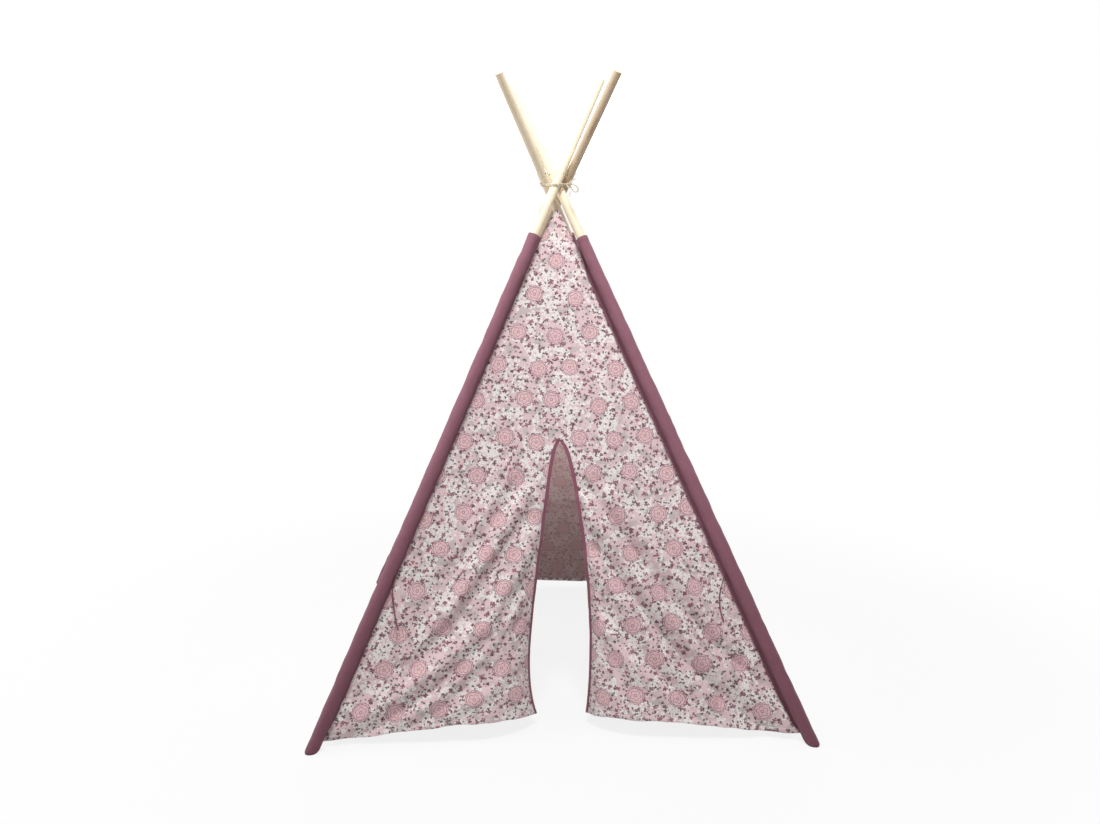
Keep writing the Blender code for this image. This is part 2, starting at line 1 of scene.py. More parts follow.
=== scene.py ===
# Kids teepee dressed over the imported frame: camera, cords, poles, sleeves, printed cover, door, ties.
# Metres, +Z up, door towards -Y. Every piece repeats the frame's own sizes; the bow, tack, sleeves and ties
# are attached to the body they ride on.
import math
import bpy
import numpy as np
from mathutils import Matrix, Vector, noise


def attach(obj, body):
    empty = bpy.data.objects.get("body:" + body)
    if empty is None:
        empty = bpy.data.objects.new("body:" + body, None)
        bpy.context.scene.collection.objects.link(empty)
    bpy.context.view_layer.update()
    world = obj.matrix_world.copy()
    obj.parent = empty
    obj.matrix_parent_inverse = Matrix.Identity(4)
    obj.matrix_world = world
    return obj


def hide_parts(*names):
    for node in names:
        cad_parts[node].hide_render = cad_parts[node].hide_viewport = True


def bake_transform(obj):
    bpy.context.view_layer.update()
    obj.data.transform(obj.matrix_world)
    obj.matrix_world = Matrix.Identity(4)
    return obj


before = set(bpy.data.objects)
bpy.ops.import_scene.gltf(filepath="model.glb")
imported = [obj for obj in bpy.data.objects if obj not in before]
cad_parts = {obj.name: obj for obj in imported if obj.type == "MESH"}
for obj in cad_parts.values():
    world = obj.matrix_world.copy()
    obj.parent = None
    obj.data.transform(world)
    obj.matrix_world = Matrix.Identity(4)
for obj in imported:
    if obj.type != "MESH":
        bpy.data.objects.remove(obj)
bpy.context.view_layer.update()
scene = bpy.context.scene

# camera
cameraLook = {
    "place": (-0.10309, -2.80781, 1.1839),
    "forward": (0.03097, 0.98590, -0.16445),
    "lens": 32.54,
    "sensor": 36.0,
}


def addCamera():
    data = bpy.data.cameras.new("photoCamera")
    data.lens = cameraLook["lens"]
    data.sensor_width = cameraLook["sensor"]
    data.sensor_fit = "HORIZONTAL"
    camera = bpy.data.objects.new("photoCamera", data)
    camera.location = cameraLook["place"]
    camera.rotation_euler = Vector(cameraLook["forward"]).to_track_quat("-Z", "Y").to_euler()
    scene.collection.objects.link(camera)
    scene.camera = camera


addCamera()
print("camera placed")

# the frame's own sizes, shared by poles, sleeves, panels and cords
frameSizes = {
    "footSpacing": 1.2,
    "crossHeight": 1.33,
    "poleRadius": 0.0125,
    "sleeveRadius": 0.0151,
    "flangeWidth": 0.0125,
    "sleeveTopBelowCross": 0.108,
    "seamGap": 0.00145,
    "hemHeight": 0.012,
    "freeHeight": 1.212,
    "tipWidth": 0.008,
    "tipTrim": 0.018,
}
cornerSigns = {"front_left": (-1, -1), "front_right": (1, -1), "back_right": (1, 1), "back_left": (-1, 1)}
lapShares = {
    "front_left": (-0.34, -1.28),
    "front_right": (0.584, -0.18),
    "back_right": (-0.584, 0.16),
    "back_left": (0.72, 1.44),
}
panelPoles = {
    "front": ("front_left", "front_right"),
    "right": ("front_right", "back_right"),
    "back": ("back_right", "back_left"),
    "left": ("back_left", "front_left"),
}
poleDiameter = 2 * frameSizes["poleRadius"]
seamReach = frameSizes["sleeveRadius"] + frameSizes["flangeWidth"]


def polePoints(corner):
    signX, signY = cornerSigns[corner]
    lapX, lapY = lapShares[corner]
    half = frameSizes["footSpacing"] / 2
    cross = Vector((lapX * poleDiameter, lapY * poleDiameter, frameSizes["crossHeight"]))
    return Vector((signX * half, signY * half, 0)), cross


# local Z runs up the pole, local X points into the tent, the origin is at the crossing
def poleMatrix(corner):
    foot, cross = polePoints(corner)
    along = (cross - foot).normalized()
    inward = Vector((along.x, along.y, 0)).normalized()
    inward = (inward - along * inward.dot(along)).normalized()
    rows = Matrix((inward, along.cross(inward), along)).transposed()
    return Matrix.Translation(cross) @ rows.to_4x4()


def localZAt(matrix, localX, height):
    return (height - matrix[2][3] - localX * matrix[2][0]) / matrix[2][2]


def seamPoint(corner, height):
    matrix = poleMatrix(corner)
    return matrix @ Vector((seamReach, 0, localZAt(matrix, seamReach, height)))


def panelTip(side):
    first, second = panelPoles[side]
    free = frameSizes["freeHeight"]
    low = [seamPoint(corner, frameSizes["hemHeight"]) for corner in (first, second)]
    high = [seamPoint(corner, free) for corner in (first, second)]
    across = (high[1] - high[0]).normalized()
    outwards = Vector((low[0].x + low[1].x, low[0].y + low[1].y, 0)).normalized()
    rise = free - frameSizes["hemHeight"]
    width = (high[1] - high[0]).length
    narrowing = ((low[1] - low[0]).dot(across) - width) / rise
    reach = (high[0] + high[1]).dot(outwards) / 2
    leaning = ((low[0] + low[1]).dot(outwards) / 2 - reach) / rise
    byWidth = free + (width - frameSizes["tipWidth"] - 2 * frameSizes["seamGap"]) / narrowing
    byReach = free + (reach - frameSizes["tipWidth"]) / leaning
    return min(byWidth, byReach) - frameSizes["tipTrim"]


panelTips = {side: panelTip(side) for side in panelPoles}


def panelEdges(side, height):
    first, second = panelPoles[side]
    start = seamPoint(first, height)
    end = seamPoint(second, height)
    free = frameSizes["freeHeight"]
    if height > free:
        share = (panelTips[side] - height) / (panelTips[side] - free)
        middle = (start + end) / 2
        base = seamPoint(second, free) - seamPoint(first, free)
        closing = base.length - 2 * frameSizes["seamGap"] - frameSizes["tipWidth"]
        half = (frameSizes["tipWidth"] + closing * share) / 2
        return middle - base.normalized() * half, middle + base.normalized() * half
    across = (end - start).normalized() * frameSizes["seamGap"]
    return start + across, end - across


def panelInward(side):
    start, end = panelEdges(side, frameSizes["hemHeight"])
    topStart, topEnd = panelEdges(side, frameSizes["freeHeight"])
    low = (start + end) / 2
    normal = (end - start).cross((topStart + topEnd) / 2 - low).normalized()
    return normal if normal.dot(Vector((low.x, low.y, 0))) < 0 else -normal


# node helpers: a Field is one output of a node, and sums of fields add math nodes to its tree
class Field:
    def __init__(self, tree, socket):
        self.tree, self.socket = tree, socket

    def __add__(self, other):
        return maths(self.tree, "ADD", self, other)

    def __sub__(self, other):
        return maths(self.tree, "SUBTRACT", self, other)

    def __rsub__(self, other):
        return maths(self.tree, "SUBTRACT", other, self)

    def __mul__(self, other):
        return maths(self.tree, "MULTIPLY", self, other)

    def __truediv__(self, other):
        return maths(self.tree, "DIVIDE", self, other)

    def __rtruediv__(self, other):
        return maths(self.tree, "DIVIDE", other, self)


def plug(tree, socket, value):
    if isinstance(value, Field):
        tree.links.new(value.socket, socket)
    else:
        socket.default_value = value


def node(tree, kind, values=None, **settings):
    made = tree.nodes.new("ShaderNode" + kind)
    for key, value in settings.items():
        setattr(made, key, value)
    for name, value in (values or {}).items():
        plug(tree, made.inputs[name], value)
    return made


def field(tree, kind, values=None, output=0, **settings):
    return Field(tree, node(tree, kind, values, **settings).outputs[output])


def maths(tree, operation, *values):
    return field(tree, "Math", dict(enumerate(values)), operation=operation)


def apply(operation, value, *others):
    return maths(value.tree, operation, value, *others)


def vectors(operation, first, second):
    return field(first.tree, "VectorMath", {0: first, 1: second}, operation=operation)


def scaled(vector, factor):
    return field(vector.tree, "VectorMath", {0: vector, "Scale": factor}, operation="SCALE")


def lengthOf(vector):
    return field(vector.tree, "VectorMath", {0: vector}, "Value", operation="LENGTH")


def clamped(value):
    value.socket.node.use_clamp = True
    return value


def partsOf(value, kind="XYZ"):
    return [Field(value.tree, socket) for socket in node(value.tree, "Separate" + kind, {0: value}).outputs]


def joined(tree, *values):
    return field(tree, "CombineXYZ", dict(enumerate(values)))


# soft noise, over a place that is first stretched by the ratios
def cloud(place, scale, detail, ratios=None, output=0):
    place = vectors("MULTIPLY", place, ratios) if ratios else place
    return field(place.tree, "TexNoise", {"Vector": place, "Scale": scale, "Detail": detail}, output)


def treeOf(*values):
    return next(value.tree for value in values if isinstance(value, Field))


def mixColours(share, first, second):
    values = {"Factor": share, 6: first, 7: second}
    return field(treeOf(share, first, second), "Mix", values, 2, data_type="RGBA")


# 1 inside the edge, 0 outside it, with a soft rim
def inside(distance, edge, rim):
    values = {"Value": distance, "From Min": edge - rim, "From Max": edge + rim}
    values.update({"To Min": 1.0, "To Max": 0.0})
    return field(distance.tree, "MapRange", values, interpolation_type="SMOOTHSTEP")


def flatCloth(tree):
    return field(tree, "UVMap", uv_map="flatCloth")


socketKinds = {"VALUE": "NodeSocketFloat", "VECTOR": "NodeSocketVector", "RGBA": "NodeSocketColor"}


# a shared effect: wire takes the inputs as fields, in their order, and gives the outputs by name
def makeGroup(name, wire, **inputs):
    tree = bpy.data.node_groups.new(name, "ShaderNodeTree")
    for label, value in inputs.items():
        kind = socketKinds["VECTOR" if value is None else "VALUE"]
        socket = tree.interface.new_socket(label, in_out="INPUT", socket_type=kind)
        if value is not None:
            socket.default_value = value
    given = tree.nodes.new("NodeGroupInput").outputs
    made = wire(*[Field(tree, given[label]) for label in inputs])
    for label, value in made.items():
        tree.interface.new_socket(label, in_out="OUTPUT", socket_type=socketKinds[value.socket.type])
    result = tree.nodes.new("NodeGroupOutput").inputs
    for label, value in made.items():
        plug(tree, result[label], value)
    return tree


def shared(name, **values):
    tree = treeOf(*values.values())
    made = node(tree, "Group", values, node_tree=groups[name])
    return {socket.name: Field(tree, socket) for socket in made.outputs}


def newMaterial(name, sockets):
    material = bpy.data.materials.new(name)
    material.use_nodes = True
    for key, value in sockets.items():
        material.node_tree.nodes["Principled BSDF"].inputs[key].default_value = value
    return material, material.node_tree


# colour, relief and perhaps roughness into the material's shader
def finish(material, colour, height, depth, rough=None):
    tree = material.node_tree
    shader = tree.nodes["Principled BSDF"].inputs
    plug(tree, shader["Base Color"], colour)
    bump = {"Height": height, "Distance": depth, "Strength": 1.0}
    plug(tree, shader["Normal"], field(tree, "Bump", bump))
    if rough:
        plug(tree, shader["Roughness"], rough)
    return material


# plain weave: threads cross over and under, and a few run thicker
def plainWeave(place, threads, slubs):
    x, y, _ = partsOf(scaled(place, threads * math.pi))
    over = apply("SINE", x) * apply("SINE", y)
    thick = (cloud(place, 1.0, 2.0, (30, 900, 1)) + cloud(place, 1.0, 2.0, (900, 30, 1)) - 1.0) * slubs
    return {"Height": over * 0.5 + (thick + 0.5), "Shade": thick}


# uneven dye, dust and rub over the cloth, from -1 to 1
def unevenDye(place, scale):
    both = cloud(place, scale, 3.0) + cloud(place, scale * 9.0, 2.0) * 0.5
    return {"Shade": both * 2.0 - 1.5}


# a row of stitches at one place across the cloth, that runs along it
def stitchRow(across, along, place, length, width):
    aside = apply("ABSOLUTE", across - place)
    middle = apply("ABSOLUTE", apply("FRACT", along / length) - 0.5)
    thread = inside(aside, width, 0.00012) * inside(middle, 0.38, 0.06)
    return {"Mask": thread, "Pull": thread * 1.2 - inside(aside, width * 3.0, 0.0012)}


# one motif to a cell, moved and turned at random
def scatterCell(place, spacing, jitter, turn, seed):
    moved = vectors("ADD", place, joined(seed.tree, seed, seed * 1.7))
    x, y, _ = partsOf(scaled(moved, 1.0 / spacing))
    row = apply("FLOOR", y)
    x = apply("FLOORED_MODULO", row, 2.0) * 0.5 + x
    column = apply("FLOOR", x)
    chance = node(seed.tree, "TexWhiteNoise", {"Vector": joined(seed.tree, column, row, seed)}).outputs
    drawX, drawY, drawTurn = partsOf(Field(seed.tree, chance["Color"]), "Color")
    asides = [
        value - start - 0.5 - (draw - 0.5) * jitter
        for value, start, draw in ((x, column, drawX), (y, row, drawY))
    ]
    sized = scaled(joined(seed.tree, *asides), spacing)
    values = {"Vector": sized, "Angle": drawTurn * (2 * math.pi) * turn}
    turned = field(seed.tree, "VectorRotate", values, rotation_type="Z_AXIS")
    x, y, _ = partsOf(turned)
    return {
        "Random": Field(seed.tree, chance["Value"]), "Distance": lengthOf(turned),
        "Angle": apply("ARCTAN2", y, x),
    }


# petals: the edge of a flower at each angle, as a share of its radius
def petalEdge(angle, count, depth):
    lobe = apply("POWER", apply("ABSOLUTE", apply("COSINE", angle * (count * 0.5))), 0.6)
    return {"Share": lobe * depth + (1.0 - depth)}


# straight pine: long fibres, slow rings and small knots, along local Z
def pineGrain(place):
    x, y, z = partsOf(place)
    depth = x + y * 0.35 + (z * 0.006 + cloud(place, 1.0, 2.0, (26, 26, 1.6)) * 0.012)
    rings = apply("POWER", apply("SINE", depth * 1300.0) * 0.5 + 0.5, 2.0)
    spots = {"Vector": vectors("MULTIPLY", place, (30, 30, 5.5)), "Scale": 1.0, "Randomness": 1.0}
    return {
        "Rings": rings, "Fibres": cloud(place, 1.0, 4.0, (900, 900, 14)),
        "Knots": inside(field(place.tree, "TexVoronoi", spots, "Distance"), 0.14, 0.08),
    }


groups = {
    "weave": makeGroup("plainWeave", plainWeave, Vector=None, Threads=1100.0, Slub=0.35),
    "dye": makeGroup("unevenDye", unevenDye, Vector=None, Scale=6.0),
    "stitch": makeGroup(
        "stitchRow", stitchRow, Across=0.0, Along=0.0, Place=0.0, Length=0.0032, Width=0.0005
    ),
    "scatter": makeGroup(
        "scatterCell", scatterCell, Vector=None, Spacing=0.05, Jitter=0.3, Turn=1.0, Seed=0.0
    ),
    "petals": makeGroup("petalEdge", petalEdge, Angle=0.0, Count=5.0, Depth=0.35),
    "grain": makeGroup("pineGrain", pineGrain, Vector=None),
}
print("shared shader effects made")

# pine for the poles
pineLook = {
    "pale": (0.86, 0.75, 0.56, 1),
    "late": (0.66, 0.48, 0.3, 1),
    "warm": (0.52, 0.4, 0.27, 1),
    "knot": (0.36, 0.2, 0.1, 1),
    "endTint": (0.46, 0.43, 0.31, 1),
    "endLength": 0.028,
    "endFade": 0.012,
    "topAboveCross": 0.352,
    "grainDepth": 0.0003,
    # how much each mark shows
    "shows": {"rings": 0.3, "fibres": 0.3, "knots": 0.5, "end": 0.55},
    # how warm each pole's wood is
    "warmths": {"front_left": 0.05, "front_right": 0.2, "back_right": 0.12, "back_left": 0.9},
}


def makePine(corner, warmth):
    coat = {"Roughness": 0.5, "Coat Weight": 0.06, "Coat Roughness": 0.4}
    material, tree = newMaterial(f"pine_{corner}", coat)
    matrix = poleMatrix(corner)
    place = {
        "Vector": field(tree, "TexCoord", output="Object"),
        "Location": matrix.translation, "Rotation": matrix.to_euler(),
    }
    local = field(tree, "Mapping", place, vector_type="TEXTURE")
    grain = shared("grain", Vector=local)
    endPlace = pineLook["topAboveCross"] / matrix[2][2] - pineLook["endLength"]
    colour = [a + (b - a) * warmth for a, b in zip(pineLook["pale"], pineLook["warm"])]
    shows = pineLook["shows"]
    for share, tone in (
        (grain["Rings"] * shows["rings"], "late"),
        (clamped(grain["Fibres"] * 1.6 - 0.62) * shows["fibres"], "late"),
        (grain["Knots"] * shows["knots"], "knot"),
        ((1.0 - inside(partsOf(local)[2], endPlace, pineLook["endFade"])) * shows["end"], "endTint"),
    ):
        colour = mixColours(share, colour, pineLook[tone])
    relief = grain["Rings"] * 0.4 + grain["Fibres"]
    return finish(material, colour, relief, pineLook["grainDepth"], grain["Fibres"] * 0.25 + 0.38)


def showIn(name, material):
    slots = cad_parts[name].data.materials
    slots.clear()
    slots.append(material)


for corner, warmth in pineLook["warmths"].items():
    pine = makePine(corner, warmth)
    for part in ("upper_pole", "lower_pole"):
        showIn(f"{part}_{corner}", pine)
print("poles in pine")

# steel for the ferrules
steelLook = {
    "colour": (0.62, 0.62, 0.63, 1),
    "dull": (0.42, 0.42, 0.44, 1),
    "rough": 0.3,
    "depth": 0.00005,
    "streaks": 0.5,
    "clouds": 0.4,
}


def makeSteel():
    material, tree = newMaterial("brushedSteel", {"Roughness": steelLook["rough"], "Metallic": 1.0})
    place = field(tree, "TexCoord", output="Object")
    streaks = cloud(place, 700.0, 3.0)
    clouds = cloud(place, 60.0, 2.0)
    share = streaks * steelLook["streaks"] + clouds * steelLook["clouds"]
    colour = mixColours(share, steelLook["colour"], steelLook["dull"])
    return finish(material, colour, streaks, steelLook["depth"], clouds * 0.25 + 0.2)


steel = makeSteel()
for corner in cornerSigns:
    showIn(f"ferrule_{corner}", steel)

# plain dyed cloth: sleeves, tapes and ribbons
plumLook = {
    "sleeve": {"colour": (0.2, 0.07, 0.103, 1), "worn": (0.32, 0.155, 0.195, 1), "threads": 1000.0},
    "tape": {"colour": (0.215, 0.062, 0.1, 1), "worn": (0.33, 0.14, 0.18, 1), "threads": 1500.0},
    "ribbon": {"colour": (0.2, 0.055, 0.09, 1), "worn": (0.33, 0.13, 0.17, 1), "threads": 1700.0},
    "stitch": (0.17, 0.045, 0.075, 1),
    # colour of the painted shade that darkens the sleeves towards the floor
    "paintedLowShade": (0.1, 0.028, 0.043, 1),
    "sheenTint": (0.9, 0.75, 0.8, 1),
    "roughness": 0.86,
    "sheen": 0.12,
    "dyeScale": 9.0,
    "depth": 0.00022,
    # how much each mark shows, and how far the stitches pull the cloth
    "shows": {"dye": 0.13, "slubs": 0.9, "threads": 0.25, "worn": 0.05, "stitches": 0.8},
    "pull": 1.6,
    # rows across the flat cloth, in metres
    "sleeveStitches": (0.0085, 0.1065),
    "tapeStitches": (0.0025,),
}


# painted shade: the cloth is darkened towards the floor, standing in for the light that falls off lower
# down
def makePlum(name, look, stitchPlaces=(), paintedLowShade=False):
    material, tree = newMaterial(name, {
        "Roughness": plumLook["roughness"], "Sheen Weight": plumLook["sheen"], "Sheen Roughness": 0.5,
        "Sheen Tint": plumLook["sheenTint"],
    })
    flat = flatCloth(tree)
    weave = shared("weave", Vector=flat, Threads=look["threads"])
    dye = shared("dye", Vector=flat, Scale=plumLook["dyeScale"])["Shade"]
    height = weave["Height"]
    shows = plumLook["shows"]
    share = dye * shows["dye"] + weave["Shade"] * shows["slubs"]
    share = clamped(share + (height * shows["threads"] + shows["worn"]))
    colour = mixColours(share, look["colour"], look["worn"])
    x, y, _ = partsOf(flat)
    # painted shade, darker towards the floor, made blotchy by the dye
    if paintedLowShade:
        colour = mixColours(clamped(y * -0.9 + (dye * 0.08 - 0.6)), colour, plumLook["paintedLowShade"])
    for place in stitchPlaces:
        row = shared("stitch", Across=x, Along=y, Place=place)
        colour = mixColours(row["Mask"] * shows["stitches"], colour, plumLook["stitch"])
        height = row["Pull"] * plumLook["pull"] + height
    return finish(material, colour, height, plumLook["depth"])


# the sleeves carry the painted shade towards the floor
sleevePlum = makePlum("plumCanvas", plumLook["sleeve"], plumLook["sleeveStitches"], paintedLowShade=True)
tapePlum = makePlum("plumTape", plumLook["tape"], plumLook["tapeStitches"])
ribbonPlum = makePlum("plumRibbon", plumLook["ribbon"])

# printed cotton
printLook = {
    "ground": (0.645, 0.485, 0.495, 1),
    "pale": (0.75, 0.71, 0.69, 1),
    "grey": (0.43, 0.385, 0.38, 1),
    "disc": (0.66, 0.425, 0.44, 1),
    "rose": (0.2, 0.055, 0.085, 1),
    "plum": (0.22, 0.075, 0.105, 1),
    "dark": (0.07, 0.042, 0.05, 1),
    "reverse": (0.36, 0.225, 0.215, 1),
    "rosetteSpacing": 0.098,
    "rosetteRadius": 0.0235,
    "lineWidth": 0.0007,
    "wobble": 0.0022,
    "clusterScale": 19.0,
    "crowding": 0.53,
    # how much of each colour shows
    "shows": {
        "haze": 0.75, "blossom": 0.95, "heart": 0.75, "leaf": 0.92, "bud": 0.9,
        "rosette": 0.75, "disc": 0.72, "line": 0.9, "back": 0.3, "hem": 0.7,
    },
    # petals and how deep they are cut
    "petals": {"blossom": (5.0, 0.34), "rim": (13.0, 0.16), "flower": (5.0, 0.5)},
    "leafCut": 0.82,
    # how far each motif strays in its cell
    "strays": {"blossom": 0.55, "leaf": 0.75, "rosette": 0.3},
    # spacing, seed, radius and share kept outside the drifts
    "blossoms": [(0.0125, 1.3, 0.0052, 0.1), (0.0151, 5.9, 0.0062, 0.12), (0.0109, 9.4, 0.0042, 0.08)],
    "blossomsKept": 0.86,
    # spacing, seed, colour, lobes, radius and share kept
    "leaves": [
        (0.0235, 2.2, "plum", 3.0, 0.0052, 0.5), (0.031, 6.1, "plum", 4.0, 0.0064, 0.55),
        (0.0133, 7.4, "dark", 3.0, 0.0028, 0.44), (0.0168, 4.6, "dark", 2.0, 0.0036, 0.48),
        (0.0193, 8.8, "dark", 3.0, 0.0034, 0.45),
    ],
    # cells to a metre, colour, size in the cell and share left out
    "dots": [(120.0, "dark", 0.09, 0.65), (85.0, "plum", 0.1, 0.55)],
    "threads": 1250.0,
    "dyeScale": 5.0,
    "hemPlace": 0.011,
    "depth": 0.0002,
}


# the flower print: pale blossoms in drifts, leaf sprigs, dots, and rosettes drawn in line; all the
# motifs are plain garden ones, each on a scatter of its own
def flowerPrint(given):
    shake = vectors("SUBTRACT", cloud(given, 160.0, 1.0, output="Color"), (0.5, 0.5, 0.5))
    place = vectors("ADD", given, scaled(shake, printLook["wobble"]))
    shows, strays, cuts = printLook["shows"], printLook["strays"], printLook["petals"]

    def scatter(spacing, jitter, seed):
        return shared("scatter", Vector=place, Spacing=spacing, Jitter=jitter, Seed=seed, Turn=1.0)

    def petals(cell, count, depth):
        return shared("petals", Angle=cell["Angle"], Count=count, Depth=depth)["Share"]

    # drifts: where the blossoms crowd, and where the ground turns grey between them
    crowd = 1.0 - inside(cloud(given, printLook["clusterScale"], 2.0), printLook["crowding"], 0.03)
    haze = cloud(vectors("ADD", given, (0.37, 0.11, 0.0)), printLook["clusterScale"] * 1.9, 1.0)
    haze = (1.0 - inside(haze, 0.57, 0.07)) * shows["haze"]
    colour = mixColours(haze, printLook["ground"], printLook["grey"])
    # blossoms: round pale heads of five petals with grey hearts
    for spacing, seed, radius, least in printLook["blossoms"]:
        cell = scatter(spacing, strays["blossom"], seed)
        kept = apply("LESS_THAN", cell["Random"], crowd * (printLook["blossomsKept"] - least) + least)
        head = inside(cell["Distance"], petals(cell, *cuts["blossom"]) * radius, 0.0008)
        colour = mixColours(head * kept * shows["blossom"], colour, printLook["pale"])
        heart = inside(cell["Distance"], radius * 0.24, 0.0006)
        colour = mixColours(heart * kept * shows["heart"], colour, printLook["grey"])
    # leaf sprigs
    for spacing, seed, tone, count, size, keep in printLook["leaves"]:
        cell = scatter(spacing, strays["leaf"], seed)
        leaf = inside(cell["Distance"], petals(cell, count, printLook["leafCut"]) * size, 0.0004)
        leaf = leaf * apply("LESS_THAN", cell["Random"], keep)
        colour = mixColours(leaf * shows["leaf"], colour, printLook[tone])
    # buds
    for scale, tone, edge, keep in printLook["dots"]:
        values = {"Vector": place, "Scale": scale}
        cells = node(place.tree, "TexVoronoi", values, voronoi_dimensions="2D").outputs
        chosen = apply("GREATER_THAN", partsOf(Field(place.tree, cells["Color"]), "Color")[0], keep)
        dot = inside(Field(place.tree, cells["Distance"]), edge, 0.04)
        colour = mixColours(dot * chosen * shows["bud"], colour, printLook[tone])
    # rosettes: a rose disc, a scalloped rim and a small flower drawn in line
    cell = scatter(printLook["rosetteSpacing"], strays["rosette"], 0.4)
    away, size, width = cell["Distance"], printLook["rosetteRadius"], printLook["lineWidth"]
    outer = petals(cell, *cuts["rim"]) * size
    flower = petals(cell, *cuts["flower"]) * (size * 0.58)
    colour = mixColours(inside(away, outer, 0.0006) * shows["rosette"], colour, printLook["ground"])
    colour = mixColours(inside(away, size * 0.8, 0.0006) * shows["disc"], colour, printLook["disc"])
    lines = None
    for edge, thick in ((outer, 0.0008), (size * 0.8, width), (flower, width), (size * 0.14, width)):
        ring = inside(apply("ABSOLUTE", away - edge), thick, 0.0003)
        lines = apply("MAXIMUM", lines, ring) if lines else ring
    return {"Color": mixColours(lines * shows["line"], colour, printLook["rose"])}


groups["print"] = makeGroup("flowerPrint", flowerPrint, Vector=None)


def makePrinted():
    cotton = {"Roughness": 0.88, "Sheen Weight": 0.15, "Sheen Roughness": 0.5}
    material, tree = newMaterial("printedCotton", cotton)
    flat = flatCloth(tree)
    weave = shared("weave", Vector=flat, Threads=printLook["threads"])
    dye = shared("dye", Vector=flat, Scale=printLook["dyeScale"])["Shade"]
    face = shared("print", Vector=flat)["Color"]
    back = mixColours(printLook["shows"]["back"], printLook["reverse"], face)
    colour = mixColours(field(tree, "NewGeometry", output="Backfacing"), face, back)
    colour = scaled(colour, dye * 0.05 + weave["Shade"] * 0.3 + (weave["Height"] * 0.06 + 0.97))
    x, y, _ = partsOf(flat)
    hem = shared("stitch", Across=y, Along=x, Place=printLook["hemPlace"])
    colour = mixColours(hem["Mask"] * printLook["shows"]["hem"], colour, printLook["pale"])
    return finish(material, colour, hem["Pull"] * 1.5 + weave["Height"], printLook["depth"])


printedCotton = makePrinted()

# cord
cordLook = {
    "pale": (0.78, 0.7, 0.54, 1),
    "shade": (0.5, 0.41, 0.28, 1),
    "fuzz": (2600.0, 420.0, 1.0),
    "depth": 0.00025,
}


def makeCordFinish():
    cotton = {"Roughness": 0.92, "Sheen Weight": 0.3, "Sheen Roughness": 0.6}
    material, tree = newMaterial("cottonCord", cotton)
    flat = flatCloth(tree)
    fibres = cloud(flat, 1.0, 3.0, cordLook["fuzz"])
    share = clamped(fibres * 0.9 + (cloud(flat, 70.0, 2.0) * 0.5 - 0.35))
    colour = mixColours(share, cordLook["pale"], cordLook["shade"])
    return finish(material, colour, fibres, cordLook["depth"])


cottonCord = makeCordFinish()
print("finishes made")


# mesh helpers
def unit(value):
    return min(1.0, max(0.0, value))


def routeLength(route):
    return sum((b - a).length for a, b in zip(route, route[1:]))


def meshFrom(name, places, faces, flatPlaces, material):
    mesh = bpy.data.meshes.new(name)
    mesh.from_pydata([tuple(p) for p in places], [], faces)
    layer = mesh.uv_layers.new(name="flatCloth")
    corners = np.zeros(len(mesh.loops), np.int32)
    mesh.loops.foreach_get("vertex_index", corners)
    layer.data.foreach_set("uv", np.asarray(flatPlaces, np.float32)[corners].ravel())
    mesh.materials.append(material)
    mesh.shade_smooth()
    obj = bpy.data.objects.new(name, mesh)
    scene.collection.objects.link(obj)
    return obj


# a sheet as rows of points; closed joins each row's ends, turned shows the other side
def gridFaces(rows, columns, closed=False, turned=False):
    faces = []
    for low in range(0, (rows - 1) * columns, columns):
        for c in range(columns if closed else columns - 1):
            right = (c + 1) % columns
            faces.append((low + c, low + right, low + columns + right, low + columns + c))
    return [face[::-1] for face in faces] if turned else faces


# the mesh is laid out for a moment by its share between the bodies, its transform is baked, and it is hung
# in place again; the mesh is laid out by its share between the bodies while blend reads it, then hung in
# place
def blendByShare(obj, shares):
    hung = np.zeros(len(obj.data.vertices) * 3, np.float32)
    obj.data.vertices.foreach_get("co", hung)
    laid = np.zeros((len(shares), 3), np.float32)
    laid[:, 0] = shares
    laid[:, 1] = np.arange(len(shares)) * 0.001  # keeps the points apart
    obj.data.vertices.foreach_set("co", laid.ravel())
    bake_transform(obj)
    obj.data.vertices.foreach_set("co", hung)
    obj.data.update()


# flat size and area of the cut, from its own pattern
def flatCut(obj):
    mesh = obj.data
    flat = np.zeros(len(mesh.loops) * 2, np.float32)
    mesh.uv_layers["flatCloth"].data.foreach_get("uv", flat)
    flat = flat.reshape(-1, 4, 2).astype(float)
    across = flat[:, 2] - flat[:, 0]
    along = flat[:, 3] - flat[:, 1]
    area = np.abs(across[:, 0] * along[:, 1] - across[:, 1] * along[:, 0]).sum() / 2
    size = flat.reshape(-1, 2).max(0) - flat.reshape(-1, 2).min(0)
    return (round(float(size[0]), 3), round(float(size[1]), 3)), float(area)


def declareSheet(obj):
    size, area = flatCut(obj)


splineSteps = 12


# a curve through all the points
def smoothRoute(points, spacing):
    points = [Vector(p) for p in points]
    padded = [points[0] * 2 - points[1]] + points + [points[-1] * 2 - points[-2]]
    dense = []
    for i in range(1, len(padded) - 2):
        before, start, end, after = padded[i - 1:i + 3]
        for k in range(splineSteps):
            t = k / splineSteps
            dense.append(0.5 * (
                2 * start + (end - before) * t
                + (2 * before - 5 * start + 4 * end - after) * t ** 2
                + (3 * start - before - 3 * end + after) * t ** 3
            ))
    dense.append(points[-1])
    return resampled(dense, spacing)


def resampled(points, spacing):
    places = np.array([tuple(p) for p in points])
    along = np.concatenate([[0], np.cumsum(np.linalg.norm(np.diff(places, axis=0), axis=1))])
    count = max(2, round(along[-1] / spacing))
    wanted = np.linspace(0, along[-1], count + 1)
    return [Vector([np.interp(w, along, places[:, axis]) for axis in range(3)]) for w in wanted]


